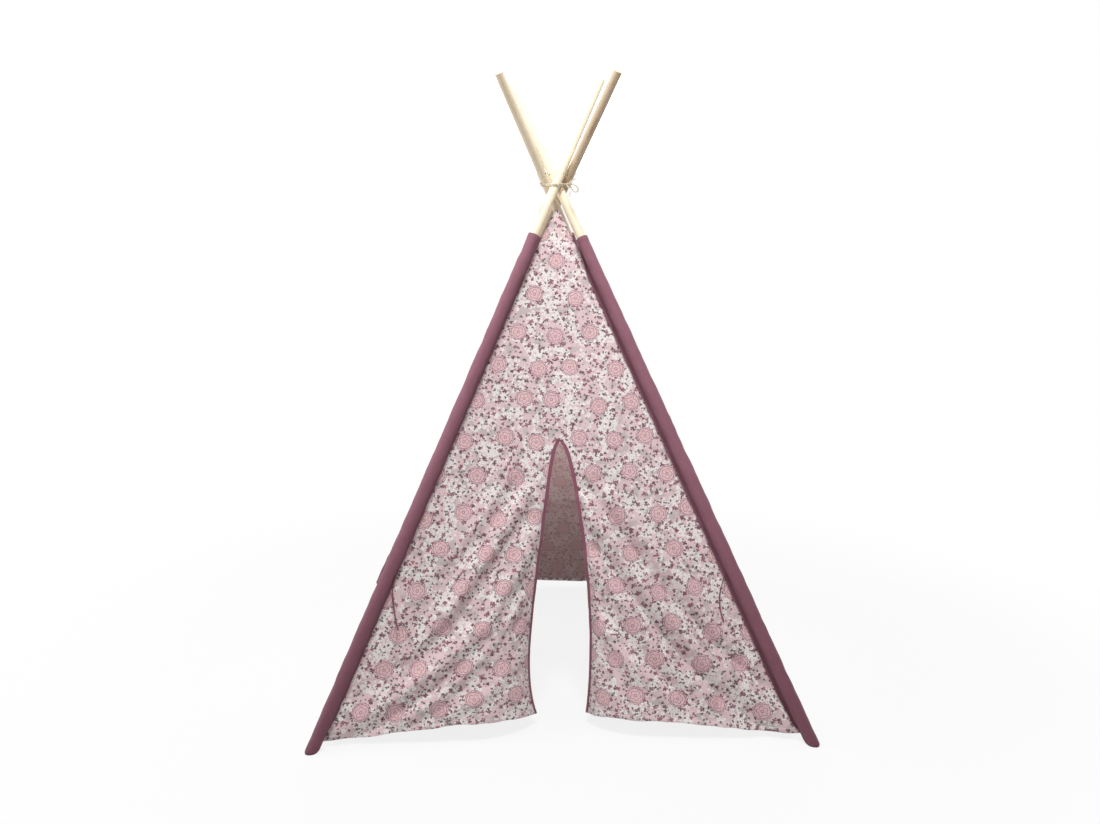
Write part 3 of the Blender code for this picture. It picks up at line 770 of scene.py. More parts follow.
# frames that turn as little as they can along a route
def routeFrames(route, side):
    frames = []
    for i, point in enumerate(route):
        ahead = (route[min(i + 1, len(route) - 1)] - route[max(i - 1, 0)]).normalized()
        side = (side - ahead * side.dot(ahead)).normalized()
        frames.append((point, ahead, side, ahead.cross(side)))
    return frames


tubeGirth = 0.01  # of every tube's flat layout, so that fibres look alike on all of them


# profile(along, angle) gives how far the surface is from the route, across and out; first and last
# keep only one run of it, which stays open where the next run meets it
def addTube(name, route, profile, around, material, side=Vector((0.3, -0.9, 0.2)), first=0, last=None):
    places, flat = [], []
    along = 0.0
    frames = routeFrames(route, side)
    final = len(route) - 1
    last = final if last is None else last
    for i, (point, ahead, across, out) in enumerate(frames):
        along += (point - frames[i - 1][0]).length if i else 0.0
        if not first <= i <= last:
            continue
        for k in range(around):
            x, y = profile(along, 2 * math.pi * k / around)
            places.append(point + across * x + out * y)
            flat.append((k / around * tubeGirth, along))
    faces = gridFaces(last - first + 1, around, closed=True)
    top = len(places) - around
    for end, start, shown in ((0, 0, first == 0), (1, top, last == final)):
        if not shown:
            continue
        ring = list(range(start, start + around))
        places.append(sum((places[i] for i in ring), Vector()) / around)
        flat.append((tubeGirth / 2, along * end))
        for k in range(around):
            pair = (ring[k], ring[(k + 1) % around])
            faces.append((len(places) - 1, *(pair if end else pair[::-1])))
    return meshFrom(name, places, faces, flat, material)


# the lashing and its bow
lashingSizes = {
    "diameter": 0.003,
    "turns": 2.5,
    "aboveCross": 0.02,
    "gap": 0.0007,
    "slack": 0.0007,
    "twistLength": 0.011,
    "strands": 3,
    "pointsPerTurn": 32,
    "step": 0.0008,
    "clearance": 0.0003,
    "knotShare": 0.6,
    # where the cord goes with one pole: how much nearer that pole is than the next
    "holdNear": 0.019,
    "holdFar": 0.01,
    "around": 18,
    "levels": 4,
    "bundleSteps": 720,
    # the strands' radius as a share of the cord's, and how far their lobes stand out
    "strandShare": 0.9,
    "lobeShare": 0.13,
}
# the bow's way from the knot, in millimetres
bowRoute = [
    (4, -24, -32), (6, -19.5, -22), (5, -13, -12), (1, -6, -4.5), (-2.5, -4.5, 0.5), (1, -4.2, 4.5),
    (8, -6.5, 3.5), (17, -8.5, 1), (26, -9, -4.5), (29, -8, -12.5), (24, -6, -18.5), (16, -5, -15.5),
    (11, -6.5, -8.5), (6, -10.5, -2), (4, -12.5, 4.5), (10, -11.5, 11), (20, -10, 17),
]


# outline of the pole bundle at a height, as the hull of the four slanted sections
def bundleOutline(height, margin):
    outline = []
    sections = []
    for corner in cornerSigns:
        foot, cross = polePoints(corner)
        along = (cross - foot).normalized()
        lean = Vector((along.x, along.y, 0)).normalized()
        centre = cross + along * ((height - cross.z) / along.z)
        radius = frameSizes["poleRadius"] + margin
        sections.append((centre, lean * radius / along.z, Vector((-lean.y, lean.x, 0)) * radius))
    count = lashingSizes["bundleSteps"]
    for i in range(count):
        way = Vector((math.cos(2 * math.pi * i / count), math.sin(2 * math.pi * i / count), 0))
        best = None
        for centre, longPart, shortPart in sections:
            reach = math.hypot(way.dot(longPart), way.dot(shortPart))
            place = centre + (longPart * way.dot(longPart) + shortPart * way.dot(shortPart)) / reach
            if best is None or place.dot(way) > best.dot(way):
                best = place
        outline.append(best)
    outline.append(outline[0])
    return outline


def outlinePlace(outline, share):
    lengths = np.concatenate([[0], np.cumsum([(b - a).length for a, b in zip(outline, outline[1:])])])
    target = lengths[-1] * (share % 1)
    for i in range(len(outline) - 1):
        if lengths[i + 1] >= target and lengths[i + 1] > lengths[i]:
            return outline[i].lerp(outline[i + 1], (target - lengths[i]) / (lengths[i + 1] - lengths[i]))
    return outline[-1]


def lashingRoute():
    thick = lashingSizes["diameter"]
    turns = lashingSizes["turns"]
    rise = (thick + lashingSizes["gap"]) * turns
    low = frameSizes["crossHeight"] + lashingSizes["aboveCross"] - rise / 2
    parts = lashingSizes["levels"]
    margin = thick / 2 + lashingSizes["slack"]
    levels = [bundleOutline(low + rise * k / parts, margin) for k in range(parts + 1)]
    count = int(lashingSizes["pointsPerTurn"] * turns)
    points = []
    for i in range(count + 1):
        level = parts * i / count
        lower = min(parts - 1, int(level))
        place = outlinePlace(levels[lower], turns * i / count)
        place = place.lerp(outlinePlace(levels[lower + 1], turns * i / count), level - lower)
        points.append(Vector((place.x, place.y, low + rise * i / count)))
    return points


def knotPlace():
    thick = lashingSizes["diameter"]
    height = frameSizes["crossHeight"] + lashingSizes["aboveCross"]
    outline = bundleOutline(height, thick / 2 + lashingSizes["slack"])
    runs = [(low, high) for low, high in zip(outline, outline[1:]) if low.x > 0 and high.x > low.x]
    low, high = max(runs, key=lambda run: (run[1] - run[0]).length)
    outwards = (high - low).normalized().cross(Vector((0, 0, 1)))
    return low.lerp(high, lashingSizes["knotShare"]) + outwards * (thick + lashingSizes["clearance"])


def strandProfile(along, angle):
    radius = lashingSizes["diameter"] / 2
    lobe = math.cos(lashingSizes["strands"] * (angle - 2 * math.pi * along / lashingSizes["twistLength"]))
    reach = radius * (lashingSizes["strandShare"] + lashingSizes["lobeShare"] * lobe)
    return reach * math.cos(angle), reach * math.sin(angle)


# the pole that each point of the winding lies on, and how firmly it goes with that pole
def windingHolds(winding):
    touched = {}
    for corner in cornerSigns:
        foot, cross = polePoints(corner)
        along = (cross - foot).normalized()
        aways = [(point - cross).cross(along).length for point in winding]
        if min(aways) < frameSizes["poleRadius"] + lashingSizes["diameter"]:
            touched[corner] = aways
    holds = []
    span = lashingSizes["holdNear"] - lashingSizes["holdFar"]
    for i in range(len(winding)):
        order = sorted(touched, key=lambda corner: touched[corner][i])
        lead = touched[order[1]][i] - touched[order[0]][i]
        holds.append((order[0], unit((lead - lashingSizes["holdFar"]) / span)))
    return holds


# one cord, in runs that meet halfway between two poles
def addWinding(winding):
    holds = windingHolds(winding)
    starts = [0] + [i for i in range(1, len(holds)) if holds[i][0] != holds[i - 1][0]]
    around = lashingSizes["around"]
    final = len(winding) - 1
    for number, (start, end) in enumerate(zip(starts, starts[1:] + [final])):
        name = f"lashingCord_{number + 1}"
        run = addTube(name, winding, strandProfile, around, cottonCord, first=start, last=end)
        shares = [holds[i][1] for i in range(start, end + 1) for _ in range(around)]
        capShare = holds[end if end == final else start][1]
        shares += [capShare] * (len(run.data.vertices) - len(shares))
        blendByShare(run, shares)
        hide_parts("lashing_cord")


def addLashing():
    winding = resampled(lashingRoute(), lashingSizes["step"])
    addWinding(winding)
    knot = knotPlace()
    route = smoothRoute([knot + Vector(p) * 0.001 for p in bowRoute], lashingSizes["step"])
    bow = addTube("lashingBow", route, strandProfile, lashingSizes["around"], cottonCord)
    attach(bow, "cover")
    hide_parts("lashing_bow")
    print("lashing", round(routeLength(winding), 3), "m, bow", round(routeLength(route), 3), "m")


addLashing()
print("cords laid")


# the cover's surface
coverSizes = {
    "bow": 0.016,
    "fluteDepth": 0.006,
    "fluteCount": 3,
    "hemRise": 0.014,
    "rowStep": 0.0085,
    "halfColumns": 62,
    "noiseBroad": (7.0, 0.0035),
    "noiseFine": (24.0, 0.0009),
    "puckerDepth": 0.0011,
    "puckerLength": 0.021,
    "puckerReach": 0.022,
    "puckerDrift": 2.5,
    "puckerScale": 9,
    "tuckIn": 0.0015,
    "hemWave": 0.0034,
    "hemWaveScale": 24.0,
    "hemWaveReach": 0.03,
    "cornerHeight": 0.12,
    "cornerNarrows": 0.8,
    "cornerReach": 0.07,
    "seamQuiet": 0.045,
    # powers by which the slack dies out up the cloth: of the bow, the flutes and the hem's rise
    "bowPower": 0.7,
    "flutePower": 2,
    "hemPower": 3,
    "heldColumns": 5,
}
noiseSeeds = {"cover": 7.3, "hem": 3.7, "flatShift": 3.1}
# height above the lower edge, how far in the layer lies, and its place in the flat cloth
hemLayers = [
    (0.0118, 0.0016, -0.013), (0.006, 0.0017, -0.0068), (0.0012, 0.0014, -0.0018), (0.0, 0.0007, 0.0),
    (0.0012, 0.0, 0.0018), (0.006, -0.0002, 0.0066), (0.0105, -0.0001, 0.0111), (0.0125, 0.0005, 0.0131),
    (0.015, 0.0004, 0.0156),
]
# a fold's round and steep side, how it thins towards its ends, and the trough beside it
foldShape = {
    "roundShare": 1.25,
    "steepShare": 0.75,
    "endShares": (0.12, 0.76),
    "endPower": 0.8,
    "troughDepth": 0.3,
    "troughPlace": 1.7,
    "troughWidth": 0.8,
}
# soft folds as lines of (across, height), how far they stand out, and how wide they are
coverFolds = {
    "front": [
        ([(-0.09, 0.545), (-0.17, 0.43), (-0.27, 0.3), (-0.38, 0.19)], 0.017, 0.02),
        ([(-0.065, 0.45), (-0.185, 0.26), (-0.3, 0.165), (-0.42, 0.095), (-0.55, 0.03)], 0.023, 0.024),
        ([(-0.1, 0.3), (-0.2, 0.19), (-0.3, 0.1), (-0.4, 0.05)], 0.013, 0.018),
        ([(-0.1, 0.17), (-0.19, 0.1), (-0.28, 0.065)], 0.008, 0.016),
        ([(0.06, 0.54), (0.14, 0.43), (0.24, 0.3), (0.35, 0.19), (0.55, 0.04)], 0.028, 0.024),
        ([(0.085, 0.4), (0.17, 0.29), (0.26, 0.18), (0.36, 0.09)], 0.021, 0.02),
        ([(0.09, 0.26), (0.17, 0.17), (0.27, 0.09)], 0.014, 0.018),
        ([(0.13, 0.56), (0.22, 0.45), (0.33, 0.33), (0.43, 0.2)], 0.016, 0.02),
        ([(-0.395, 0.374), (-0.304, 0.441)], 0.006, 0.009),
        ([(0.391, 0.374), (0.31, 0.45)], 0.005, 0.01),
        ([(-0.13, 0.61), (-0.21, 0.49), (-0.33, 0.37)], 0.008, 0.02),
    ],
    "right": [
        ([(-0.5, 0.08), (-0.3, 0.2), (-0.08, 0.42)], 0.01, 0.028),
        ([(0.5, 0.08), (0.27, 0.18), (0.05, 0.36)], 0.009, 0.026),
        ([(-0.02, 0.9), (-0.05, 0.6), (-0.16, 0.3)], 0.005, 0.03),
    ],
    "back": [
        ([(-0.49, 0.07), (-0.28, 0.16), (-0.1, 0.33)], 0.01, 0.026),
        ([(0.5, 0.08), (0.3, 0.24), (0.1, 0.5)], 0.01, 0.028),
        ([(0.03, 0.95), (0.02, 0.6), (0.1, 0.25)], 0.005, 0.03),
    ],
    "left": [
        ([(-0.5, 0.08), (-0.26, 0.19), (-0.03, 0.4)], 0.009, 0.027),
        ([(0.5, 0.07), (0.3, 0.17), (0.12, 0.36)], 0.011, 0.026),
        ([(0.0, 0.9), (0.05, 0.55), (0.12, 0.28)], 0.005, 0.03),
    ],
}
panelOrder = list(panelPoles)
tiny = 1e-6


# how far a soft fold lifts the cloth at a place: round on one side, steeper on the other
def foldLift(folds, across, height):
    total = 0.0
    for line, depth, width in folds:
        best = None
        steps = len(line) - 1
        for i in range(steps):
            startX, startZ = line[i]
            runX = line[i + 1][0] - startX
            runZ = line[i + 1][1] - startZ
            share = ((across - startX) * runX + (height - startZ) * runZ) / (runX ** 2 + runZ ** 2)
            held = unit(share)
            awayX = across - startX - runX * held
            awayZ = height - startZ - runZ * held
            away = math.hypot(awayX, awayZ)
            if best is None or away < best[0]:
                side = 1 if awayX * runZ - awayZ * runX > 0 else -1
                best = (away, side, (i + held) / steps)
        away, side, run = best
        away /= width * foldShape["roundShare" if side > 0 else "steepShare"]
        first, length = foldShape["endShares"]
        strength = math.sin(math.pi * (first + length * run)) ** foldShape["endPower"]
        total += depth * math.exp(-away ** 2) * strength
        trough = (away - foldShape["troughPlace"]) / foldShape["troughWidth"]
        total -= depth * foldShape["troughDepth"] * math.exp(-trough ** 2)
    return total


def coverRelief(side, across, height, seamAway, row):
    sizes = coverSizes
    spot = Vector((across, height, noiseSeeds["cover"] * panelOrder.index(side)))
    quiet = min(1.0, seamAway / sizes["seamQuiet"])
    lift = foldLift(coverFolds[side], across, height) * quiet
    for scale, depth in (sizes["noiseBroad"], sizes["noiseFine"]):
        lift += noise.noise(spot * scale) * depth * quiet
    drift = sizes["puckerDrift"] * noise.noise(Vector((row * sizes["puckerScale"], 0, spot.z)))
    wave = math.sin(2 * math.pi * row / sizes["puckerLength"] + drift)
    lift += wave * sizes["puckerDepth"] * math.exp(-seamAway / sizes["puckerReach"])
    return lift


def coverRows(side):
    hem = frameSizes["hemHeight"]
    free = frameSizes["freeHeight"]
    start = hemLayers[-1][0]
    rows = [(hem + up, offset, flat) for up, offset, flat in hemLayers]
    marks = [hem + start, slitSizes["topHeight"], free, panelTips[side]]
    for low, high in zip(marks, marks[1:]):
        count = max(2, round((high - low) / coverSizes["rowStep"]))
        levels = [low + (high - low) * i / count for i in range(1, count + 1)]
        rows += [(level, 0.0, flatHeight(side, level)) for level in levels]
    return rows


# slit of the front panel, and the flaps on both sides of it
slitSizes = {
    "topHeight": 0.68,
    "topHalfGap": 0.003,
    "flare": {-1: 0.076, 1: 0.1},
    "flarePower": 0.6,
    "closings": {-1: (0.85, 7), 1: (0.8, 2)},
    "foldTopHalfWidth": 0.022,
    "foldTopShare": 0.3,
    "doorHalfWidth": 0.27,
    "foldEndShare": 0.1,
    "frontHemRise": 0.031,
    "curl": math.radians(62),
    "curlTopShare": 0.35,
    "curlTurn": 0.62,
    "bendPower": 1.4,
    "hemLift": 0.022,
    "liftPower": 1.6,
    "blendWidth": 0.05,
    "flapColumns": 34,
    "boundWidth": 0.011,
    "leastBound": 0.2,
    "bendSteps": 60,
    # how much of the folds is gone at the tape
    "calmShare": 0.75,
    "calmPower": 3,
}


def dropShare(height):
    return (slitSizes["topHeight"] - height) / (slitSizes["topHeight"] - frameSizes["hemHeight"])


def slitHalfGap(drop, sign):
    drop = max(0.0, drop)
    closing, power = slitSizes["closings"][sign]
    wave = drop ** slitSizes["flarePower"] * (1 - closing * drop ** power)
    return slitSizes["topHalfGap"] + slitSizes["flare"][sign] * wave


# the front hem rises from the seams to the fold lines, and the rise dies out up the cloth
def risenHeight(height):
    top, hem = slitSizes["topHeight"], frameSizes["hemHeight"]
    foldEnd = top - slitSizes["foldEndShare"] * (top - hem)
    slack = max(0.0, (foldEnd - height) / (foldEnd - hem))
    return height + slitSizes["frontHemRise"] * slack ** 2


def foldHalfWidth(drop):
    low = slitSizes["foldTopHalfWidth"]
    if drop < 0:
        return low * max(slitSizes["foldTopShare"], 1 + drop)
    return low + (slitSizes["doorHalfWidth"] - low) * drop


panelNormals = {side: panelInward(side) for side in panelPoles}


# middle of a panel's row, the way across it, and its width
def panelRow(side, height):
    start, end = panelEdges(side, height)
    return (start + end) / 2, (end - start).normalized(), (end - start).length


# up the middle of a panel, from its hem to its free end
def panelRise(side):
    return panelRow(side, frameSizes["freeHeight"])[0] - panelRow(side, frameSizes["hemHeight"])[0]


# how much of the sleeve's seam is left at a height: it runs out towards the foot
def seamShare(height):
    over = max(0.0, height - frameSizes["hemHeight"]) / coverSizes["cornerHeight"]
    return 1 - coverSizes["cornerNarrows"] * max(0.0, 1 - over) ** 2


# the lower edge pulls up and down a little along its stitches
def hemWave(across, height):
    spot = Vector((across * coverSizes["hemWaveScale"], noiseSeeds["hem"], 0))
    near = math.exp(-(height - frameSizes["hemHeight"]) / coverSizes["hemWaveReach"])
    return noise.noise(spot) * coverSizes["hemWave"] * near


# flat height of a row: how far up the cloth it was before it was hung
def flatHeight(side, height):
    hem = frameSizes["hemHeight"]
    return (height - hem) * (panelRise(side).length / (frameSizes["freeHeight"] - hem))


# columns from the seam inwards, close together at both ends so that the shading meets
def spreadColumns(count):
    return [0.0, 0.004] + [i / count for i in range(1, count)] + [0.997, 1.0]


# sign is -1 for the half by the panel's first pole and 1 for the half by its second one; the front
# panel is held open by the door, so its slack runs out at the fold lines instead of the middle
def addPanelHalf(side, sign):
    held = side == "front"
    inward, up = panelNormals[side], panelRise(side).normalized()
    pole = panelPoles[side][(sign + 1) // 2]
    poleInward = poleMatrix(pole).col[0].to_3d()
    rows = coverRows(side)
    hem, free = frameSizes["hemHeight"], frameSizes["freeHeight"]
    columnShares = spreadColumns(coverSizes["halfColumns"])
    innerColumns = coverSizes["heldColumns"] if held else 0
    columns = len(columnShares) + innerColumns
    places, flat, shares = [], [], []
    flatShift = noiseSeeds["flatShift"] * panelOrder.index(side)
    for height, offset, flatRow in rows:
        middle, across, width = panelRow(side, height)
        outer = width / 2 + coverSizes["tuckIn"]
        risen = risenHeight(height) if held else height
        risenMiddle = panelRow(side, risen)[0]
        fold = foldHalfWidth(dropShare(risen)) if held else 0.0
        line = [fold + (outer - fold) * (1 - share) for share in columnShares]
        line += [fold * (1 - (i + 1) / innerColumns) for i in range(innerColumns)]
        slack = max(0.0, 1 - (height - hem) / (free - hem))
        for away in line:
            aside = away * sign
            u = unit(0.5 + aside / width)
            arch = 4 * u * (1 - u)
            run = 0.0
            if held:
                run = unit((width / 2 - away) / max(tiny, width / 2 - fold))
                sag = coverSizes["fluteDepth"] * slack * math.sin(2 * math.pi * run) * (1 - run)
                rise = 0.0
            else:
                sag = coverSizes["bow"] * arch * slack ** coverSizes["bowPower"]
                flute = math.sin(2 * math.pi * coverSizes["fluteCount"] * u)
                sag += coverSizes["fluteDepth"] * arch * slack ** coverSizes["flutePower"] * flute
                rise = coverSizes["hemRise"] * arch * slack ** coverSizes["hemPower"]
            level = height + (risen - height) * run
            relief = coverRelief(side, aside, level, max(0.0, width / 2 - away), flatRow)
            place = middle.lerp(risenMiddle, run) + across * aside
            place += inward * (sag + offset - relief) + Vector((0, 0, rise)) + up * hemWave(aside, height)
            near = max(0.0, 1 - max(0.0, width / 2 - away) / coverSizes["cornerReach"]) ** 2
            place -= poleInward * (1 - seamShare(height)) * frameSizes["flangeWidth"] * near
            places.append(place)
            flat.append((aside + flatShift, flatRow))
            shares.append(unit((away - fold) / (outer - fold)))
    faces = []
    slitRow = next(i for i, row in enumerate(rows) if row[0] >= slitSizes["topHeight"] - tiny)
    for face in gridFaces(len(rows), columns):
        row, column = divmod(face[0], columns)
        if column < len(columnShares) - 1 or (held and row >= slitRow):
            faces.append(face[::-1] if sign > 0 else face)
    used = sorted({index for face in faces for index in face})
    renumbered = {old: new for new, old in enumerate(used)}
    faces = [tuple(renumbered[index] for index in face) for face in faces]
    name = f"{side}Panel_{pole}"
    obj = meshFrom(name, [places[i] for i in used], faces, [flat[i] for i in used], printedCotton)
    blendByShare(obj, [shares[i] for i in used])
    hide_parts(f"{side}_panel")
    return obj


coverPieces = {
    (side, sign): addPanelHalf(side, sign)
    for side in ("right", "back", "left", "front") for sign in (-1, 1)
}
print("cover panels hung")


# one row of a flap, from the fold line to the slit, curling inwards
def flapRow(seamHeight, offset, sign, shares):
    height = risenHeight(seamHeight)
    drop = dropShare(height)
    fold = foldHalfWidth(drop)
    width = fold - slitHalfGap(drop, sign)
    middle, across, _ = panelRow("front", height)
    inward, up = panelNormals["front"], panelRise("front").normalized()
    bound = max(slitSizes["leastBound"], 1 - slitSizes["boundWidth"] / width)
    turn = math.sin(math.pi * min(1, max(0.0, drop) * slitSizes["curlTurn"]))
    curl = slitSizes["curl"] * (slitSizes["curlTopShare"] + (1 - slitSizes["curlTopShare"]) * turn)
    point = middle + across * fold * sign
    row = []
    last = 0.0
    for share in shares:
        steps = max(1, math.ceil((share - last) * slitSizes["bendSteps"]))
        for i in range(steps):
            bend = curl * min(last + (share - last) * (i + 0.5) / steps, bound) ** slitSizes["bendPower"]
            step = across * -sign * math.cos(bend) + inward * math.sin(bend)
            point = point + step * width * (share - last) / steps
        last = share
        bend = curl * min(share, bound) ** slitSizes["bendPower"]
        normal = inward * math.cos(bend) + across * sign * math.sin(bend)
        aside = (fold - width * share) * sign
        free = min(share, bound)
        power = slitSizes["liftPower"]
        rise = slitSizes["hemLift"] * share ** power * max(0.0, drop) ** power
        relief = coverRelief("front", (fold - width * free) * sign, height, 1.0, seamHeight)
        calm = 1 - slitSizes["calmShare"] * (free / bound) ** slitSizes["calmPower"]
        place = point + up * (rise + hemWave(aside, seamHeight)) + normal * (offset - relief * calm)
        row.append((place, normal, aside, width * share))
    return row


def addFlap(label, sign):
    rows = [row for row in coverRows("front") if row[0] <= slitSizes["topHeight"] + tiny]
    columns = slitSizes["flapColumns"]
    shares = [0.0, 0.006] + [i / columns for i in range(1, columns + 1)]
    places, flat, weights = [], [], []
    for height, offset, flatRow in rows:
        for place, normal, aside, away in flapRow(height, offset, sign, shares):
            places.append(place)
            flat.append((aside, flatRow))
            weights.append(min(1.0, away / slitSizes["blendWidth"]))
    faces = gridFaces(len(rows), len(shares), turned=sign > 0)
    obj = meshFrom(f"doorFlap_{label}", places, faces, flat, printedCotton)
    blendByShare(obj, weights)
    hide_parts(f"door_flap_{label}")
    return obj


# plum tape folded over the edge of each flap, sewn near its inner edges
bindingSizes = {
    "width": 0.0085,
    "thickness": 0.0025,
    "lip": 0.001,
    "lipTurns": (-math.pi / 4, 0.0, math.pi / 4),
    "rowStep": 0.0035,
    "aboveSlit": 0.009,
    "pucker": 0.0002,
    "puckerLength": 0.0065,
    # how much of the cover's relief reaches the tape and the tack above the slit
    "reliefShare": 0.3,
    # places across the tape, and how thin it is at its edges
    "places": (0.0, 0.2, 0.5, 0.8, 1.0),
    "edgeShare": 0.8,
    "aboveHem": 0.0002,
    "leastBound": 0.05,
    "fullness": 1.06,
}


def bindingRing(height, sign, along):
    width = bindingSizes["width"]
    over = height - slitSizes["topHeight"]
    if over > 0:
        gap = slitSizes["topHalfGap"] * max(0.0, 1 - over / bindingSizes["aboveSlit"])
        middle, across, _ = panelRow("front", height)
        across = across * sign
        edge = middle + across * gap
        normal = panelNormals["front"]
        relief = coverRelief("front", gap * sign, height, 1.0, height)
        edge = edge - normal * relief * bindingSizes["reliefShare"]
        root = edge + across * width
        away = 0.0
    else:
        drop = dropShare(risenHeight(height))
        reach = foldHalfWidth(drop) - slitHalfGap(drop, sign)
        bound = max(bindingSizes["leastBound"], 1 - width / reach)
        near, far = flapRow(height, 0.0, sign, [bound, 1.0])
        root, edge, normal, away = near[0], far[0], far[1], far[3]
    away -= width
    aim = (edge - root).normalized()
    root = edge - aim * width
    normal = (normal - aim * normal.dot(aim)).normalized()
    half = bindingSizes["thickness"] / 2
    half += bindingSizes["pucker"] * math.sin(2 * math.pi * along / bindingSizes["puckerLength"])
    thin = bindingSizes["edgeShare"]
    ring = []
    for share in bindingSizes["places"]:
        ring.append((share, -half * (thin + (1 - thin) * math.sin(math.pi * share))))
    back = [(share, -aside) for share, aside in reversed(ring)]
    for turn in bindingSizes["lipTurns"]:
        out = bindingSizes["lip"] / width * math.cos(turn)
        ring.append((1.0 + out, half * math.sin(turn)))
    ring += back
    places = [root + aim * width * share + normal * aside for share, aside in ring]
    if over > 0:
        return places, [0.0] * len(ring)
    return places, [unit((away + width * share) / slitSizes["blendWidth"]) for share, aside in ring]


def addBinding(label, sign):
    hem = frameSizes["hemHeight"] + bindingSizes["aboveHem"]
    top = slitSizes["topHeight"] + bindingSizes["aboveSlit"]
    count = round((top - hem) / bindingSizes["rowStep"])
    places, flat, weights = [], [], []
    along = 0.0
    for i in range(count + 1):
        height = hem + (top - hem) * i / count
        ring, ringWeights = bindingRing(height, sign, along)
        perimeter = 0.0
        for k, place in enumerate(ring):
            perimeter += (place - ring[k - 1]).length if k else 0.0
            flat.append((perimeter, along))
        places += ring
        weights += ringWeights
        along += (top - hem) / count * bindingSizes["fullness"]
    around = len(ring)
    faces = gridFaces(count + 1, around, turned=sign > 0)
    obj = meshFrom(f"doorBinding_{label}", places, faces, flat, tapePlum)
    blendByShare(obj, weights)
    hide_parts(f"door_binding_{label}")
    return obj, (perimeter, along)


# a close row of satin stitches that stops the slit from tearing further
tackSizes = {
    "width": 0.011,
    "height": 0.0034,
    "thickness": 0.0011,
    "above": 0.007,
    "lift": 0.0009,
    "ridges": 11,
    "ridgeShare": 0.25,
    "columns": 45,
    "rows": 9,
}


def addTack():
    sizes = tackSizes
    height = slitSizes["topHeight"] + sizes["above"]
    middle, across, _ = panelRow("front", height)
    inward = panelNormals["front"]
    down = inward.cross(across)
    relief = coverRelief("front", 0, height, 1.0, height) * bindingSizes["reliefShare"]
    centre = middle - inward * (relief + sizes["lift"])
    places, flat = [], []
    columns, rows = sizes["columns"], sizes["rows"]
    for r in range(rows):
        v = 2 * r / (rows - 1) - 1
        for c in range(columns):
            u = 2 * c / (columns - 1) - 1
            full = (1 - u ** 6) * (1 - v ** 4)
            ridge = 1 - sizes["ridgeShare"] + sizes["ridgeShare"] * math.cos(math.pi * sizes["ridges"] * u)
            place = centre + across * u * sizes["width"] / 2 + down * v * sizes["height"] / 2
            places.append(place - inward * (sizes["thickness"] * full * ridge))
            flat.append((u * sizes["width"] / 2, v * sizes["height"] / 2))
    faces = [face[:1] + face[:0:-1] for face in gridFaces(rows, columns)]
    tack = meshFrom("slitTack", places, faces, flat, ribbonPlum)
    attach(tack, "cover")


flaps, bindings = {}, {}
for label, sign in (("left", -1), ("right", 1)):
    flaps[label] = addFlap(label, sign)
    bindings[label] = addBinding(label, sign)
addTack()
print("door flaps and bindings made")

# sleeves: a loose tube over each pole, drawn into a flat seam towards the tent
sleeveSizes = {
    "rootAngle": math.radians(38),
    "rootShare": 0.3,
    "seamHalf": 0.0012,
    "tipRound": 0.0006,
    # half the seam's thickness at its tip, middle and root, over seamHalf
    "seamShares": (0.9, 1.15, 1.6),
    # the sweep from the seam into the tube, in two steps of a third
    "sweepShares": (0.72, 1.6),
    "topShare": 0.12,
    "taper": 0.11,
    "tubeSteps": 34,
    "ringStep": 0.009,
    "girth": 0.115,
    "hemLength": 0.013,
    "hemBulge": 0.0005,
    "hemStep": 0.0012,
    "lipStep": 0.0008,
    "insideStep": 0.001,
    "leastRadius": 0.0142,
    "footRound": 0.007,
    "footShare": 0.8,
    "floorShares": (0.25, 0.6),
    "floorClear": 0.0003,
    "rimHeights": (0.0, 0.0015, 0.004, 0.0075, 0.012, 0.02),
    "tubeStart": 0.03,
    "leastTube": 0.028,
    "tubeStretch": 0.06,
    "cloth": 0.0012,
    # where the section turns from seam to tube, in radians, and over how much
    "tubeAngle": 0.35,
    "tubeTurn": 0.6,
    # the way round the laid seam, over lapWidth and lapLift
    "lapWidth": 0.0075,
    "lapLift": 0.0022,
    "lapSteps": [(1.0, 0.4), (1.05, 0.75), (1.0, 1.0), (0.5, 1.1), (0.0, 1.0)],
    "topSlips": {"front_left": 0.01, "front_right": 0.017, "back_right": 0.008, "back_left": 0.009},
}

# loose cloth: how far each kind of wrinkle stands out, and how often it comes per metre
wrinkleLook = {
    "bag": 0.0012,
    "bagShare": 0.6,
    "bagAround": 0.35,
    "bagScale": 14,
    "wrinkle": 0.0011,
    "wrinkleScale": 3.1,
    "fold": 0.0008,
    "foldScale": 62,
    "foldSlant": 1.5,
    "foldDrift": 3,
    "driftScale": 5,
    "patchScale": 9,
    "patchShare": 0.35,
    "sway": 0.0009,
    "swayScale": 95,
    "swayDrift": 4,
    "swayDriftScale": 7,
    "seedStep": 11.0,
}


# the front right sleeve's seam allowance is sewn down flat over the front panel: its way and its lift
def lapLines(matrix):
    start, end = panelEdges("front", frameSizes["freeHeight"])
    turn = matrix.to_3x3().transposed()
    way, lift = turn @ (start - end), turn @ -panelNormals["front"]
    return way.to_2d().normalized(), lift.to_2d().normalized()


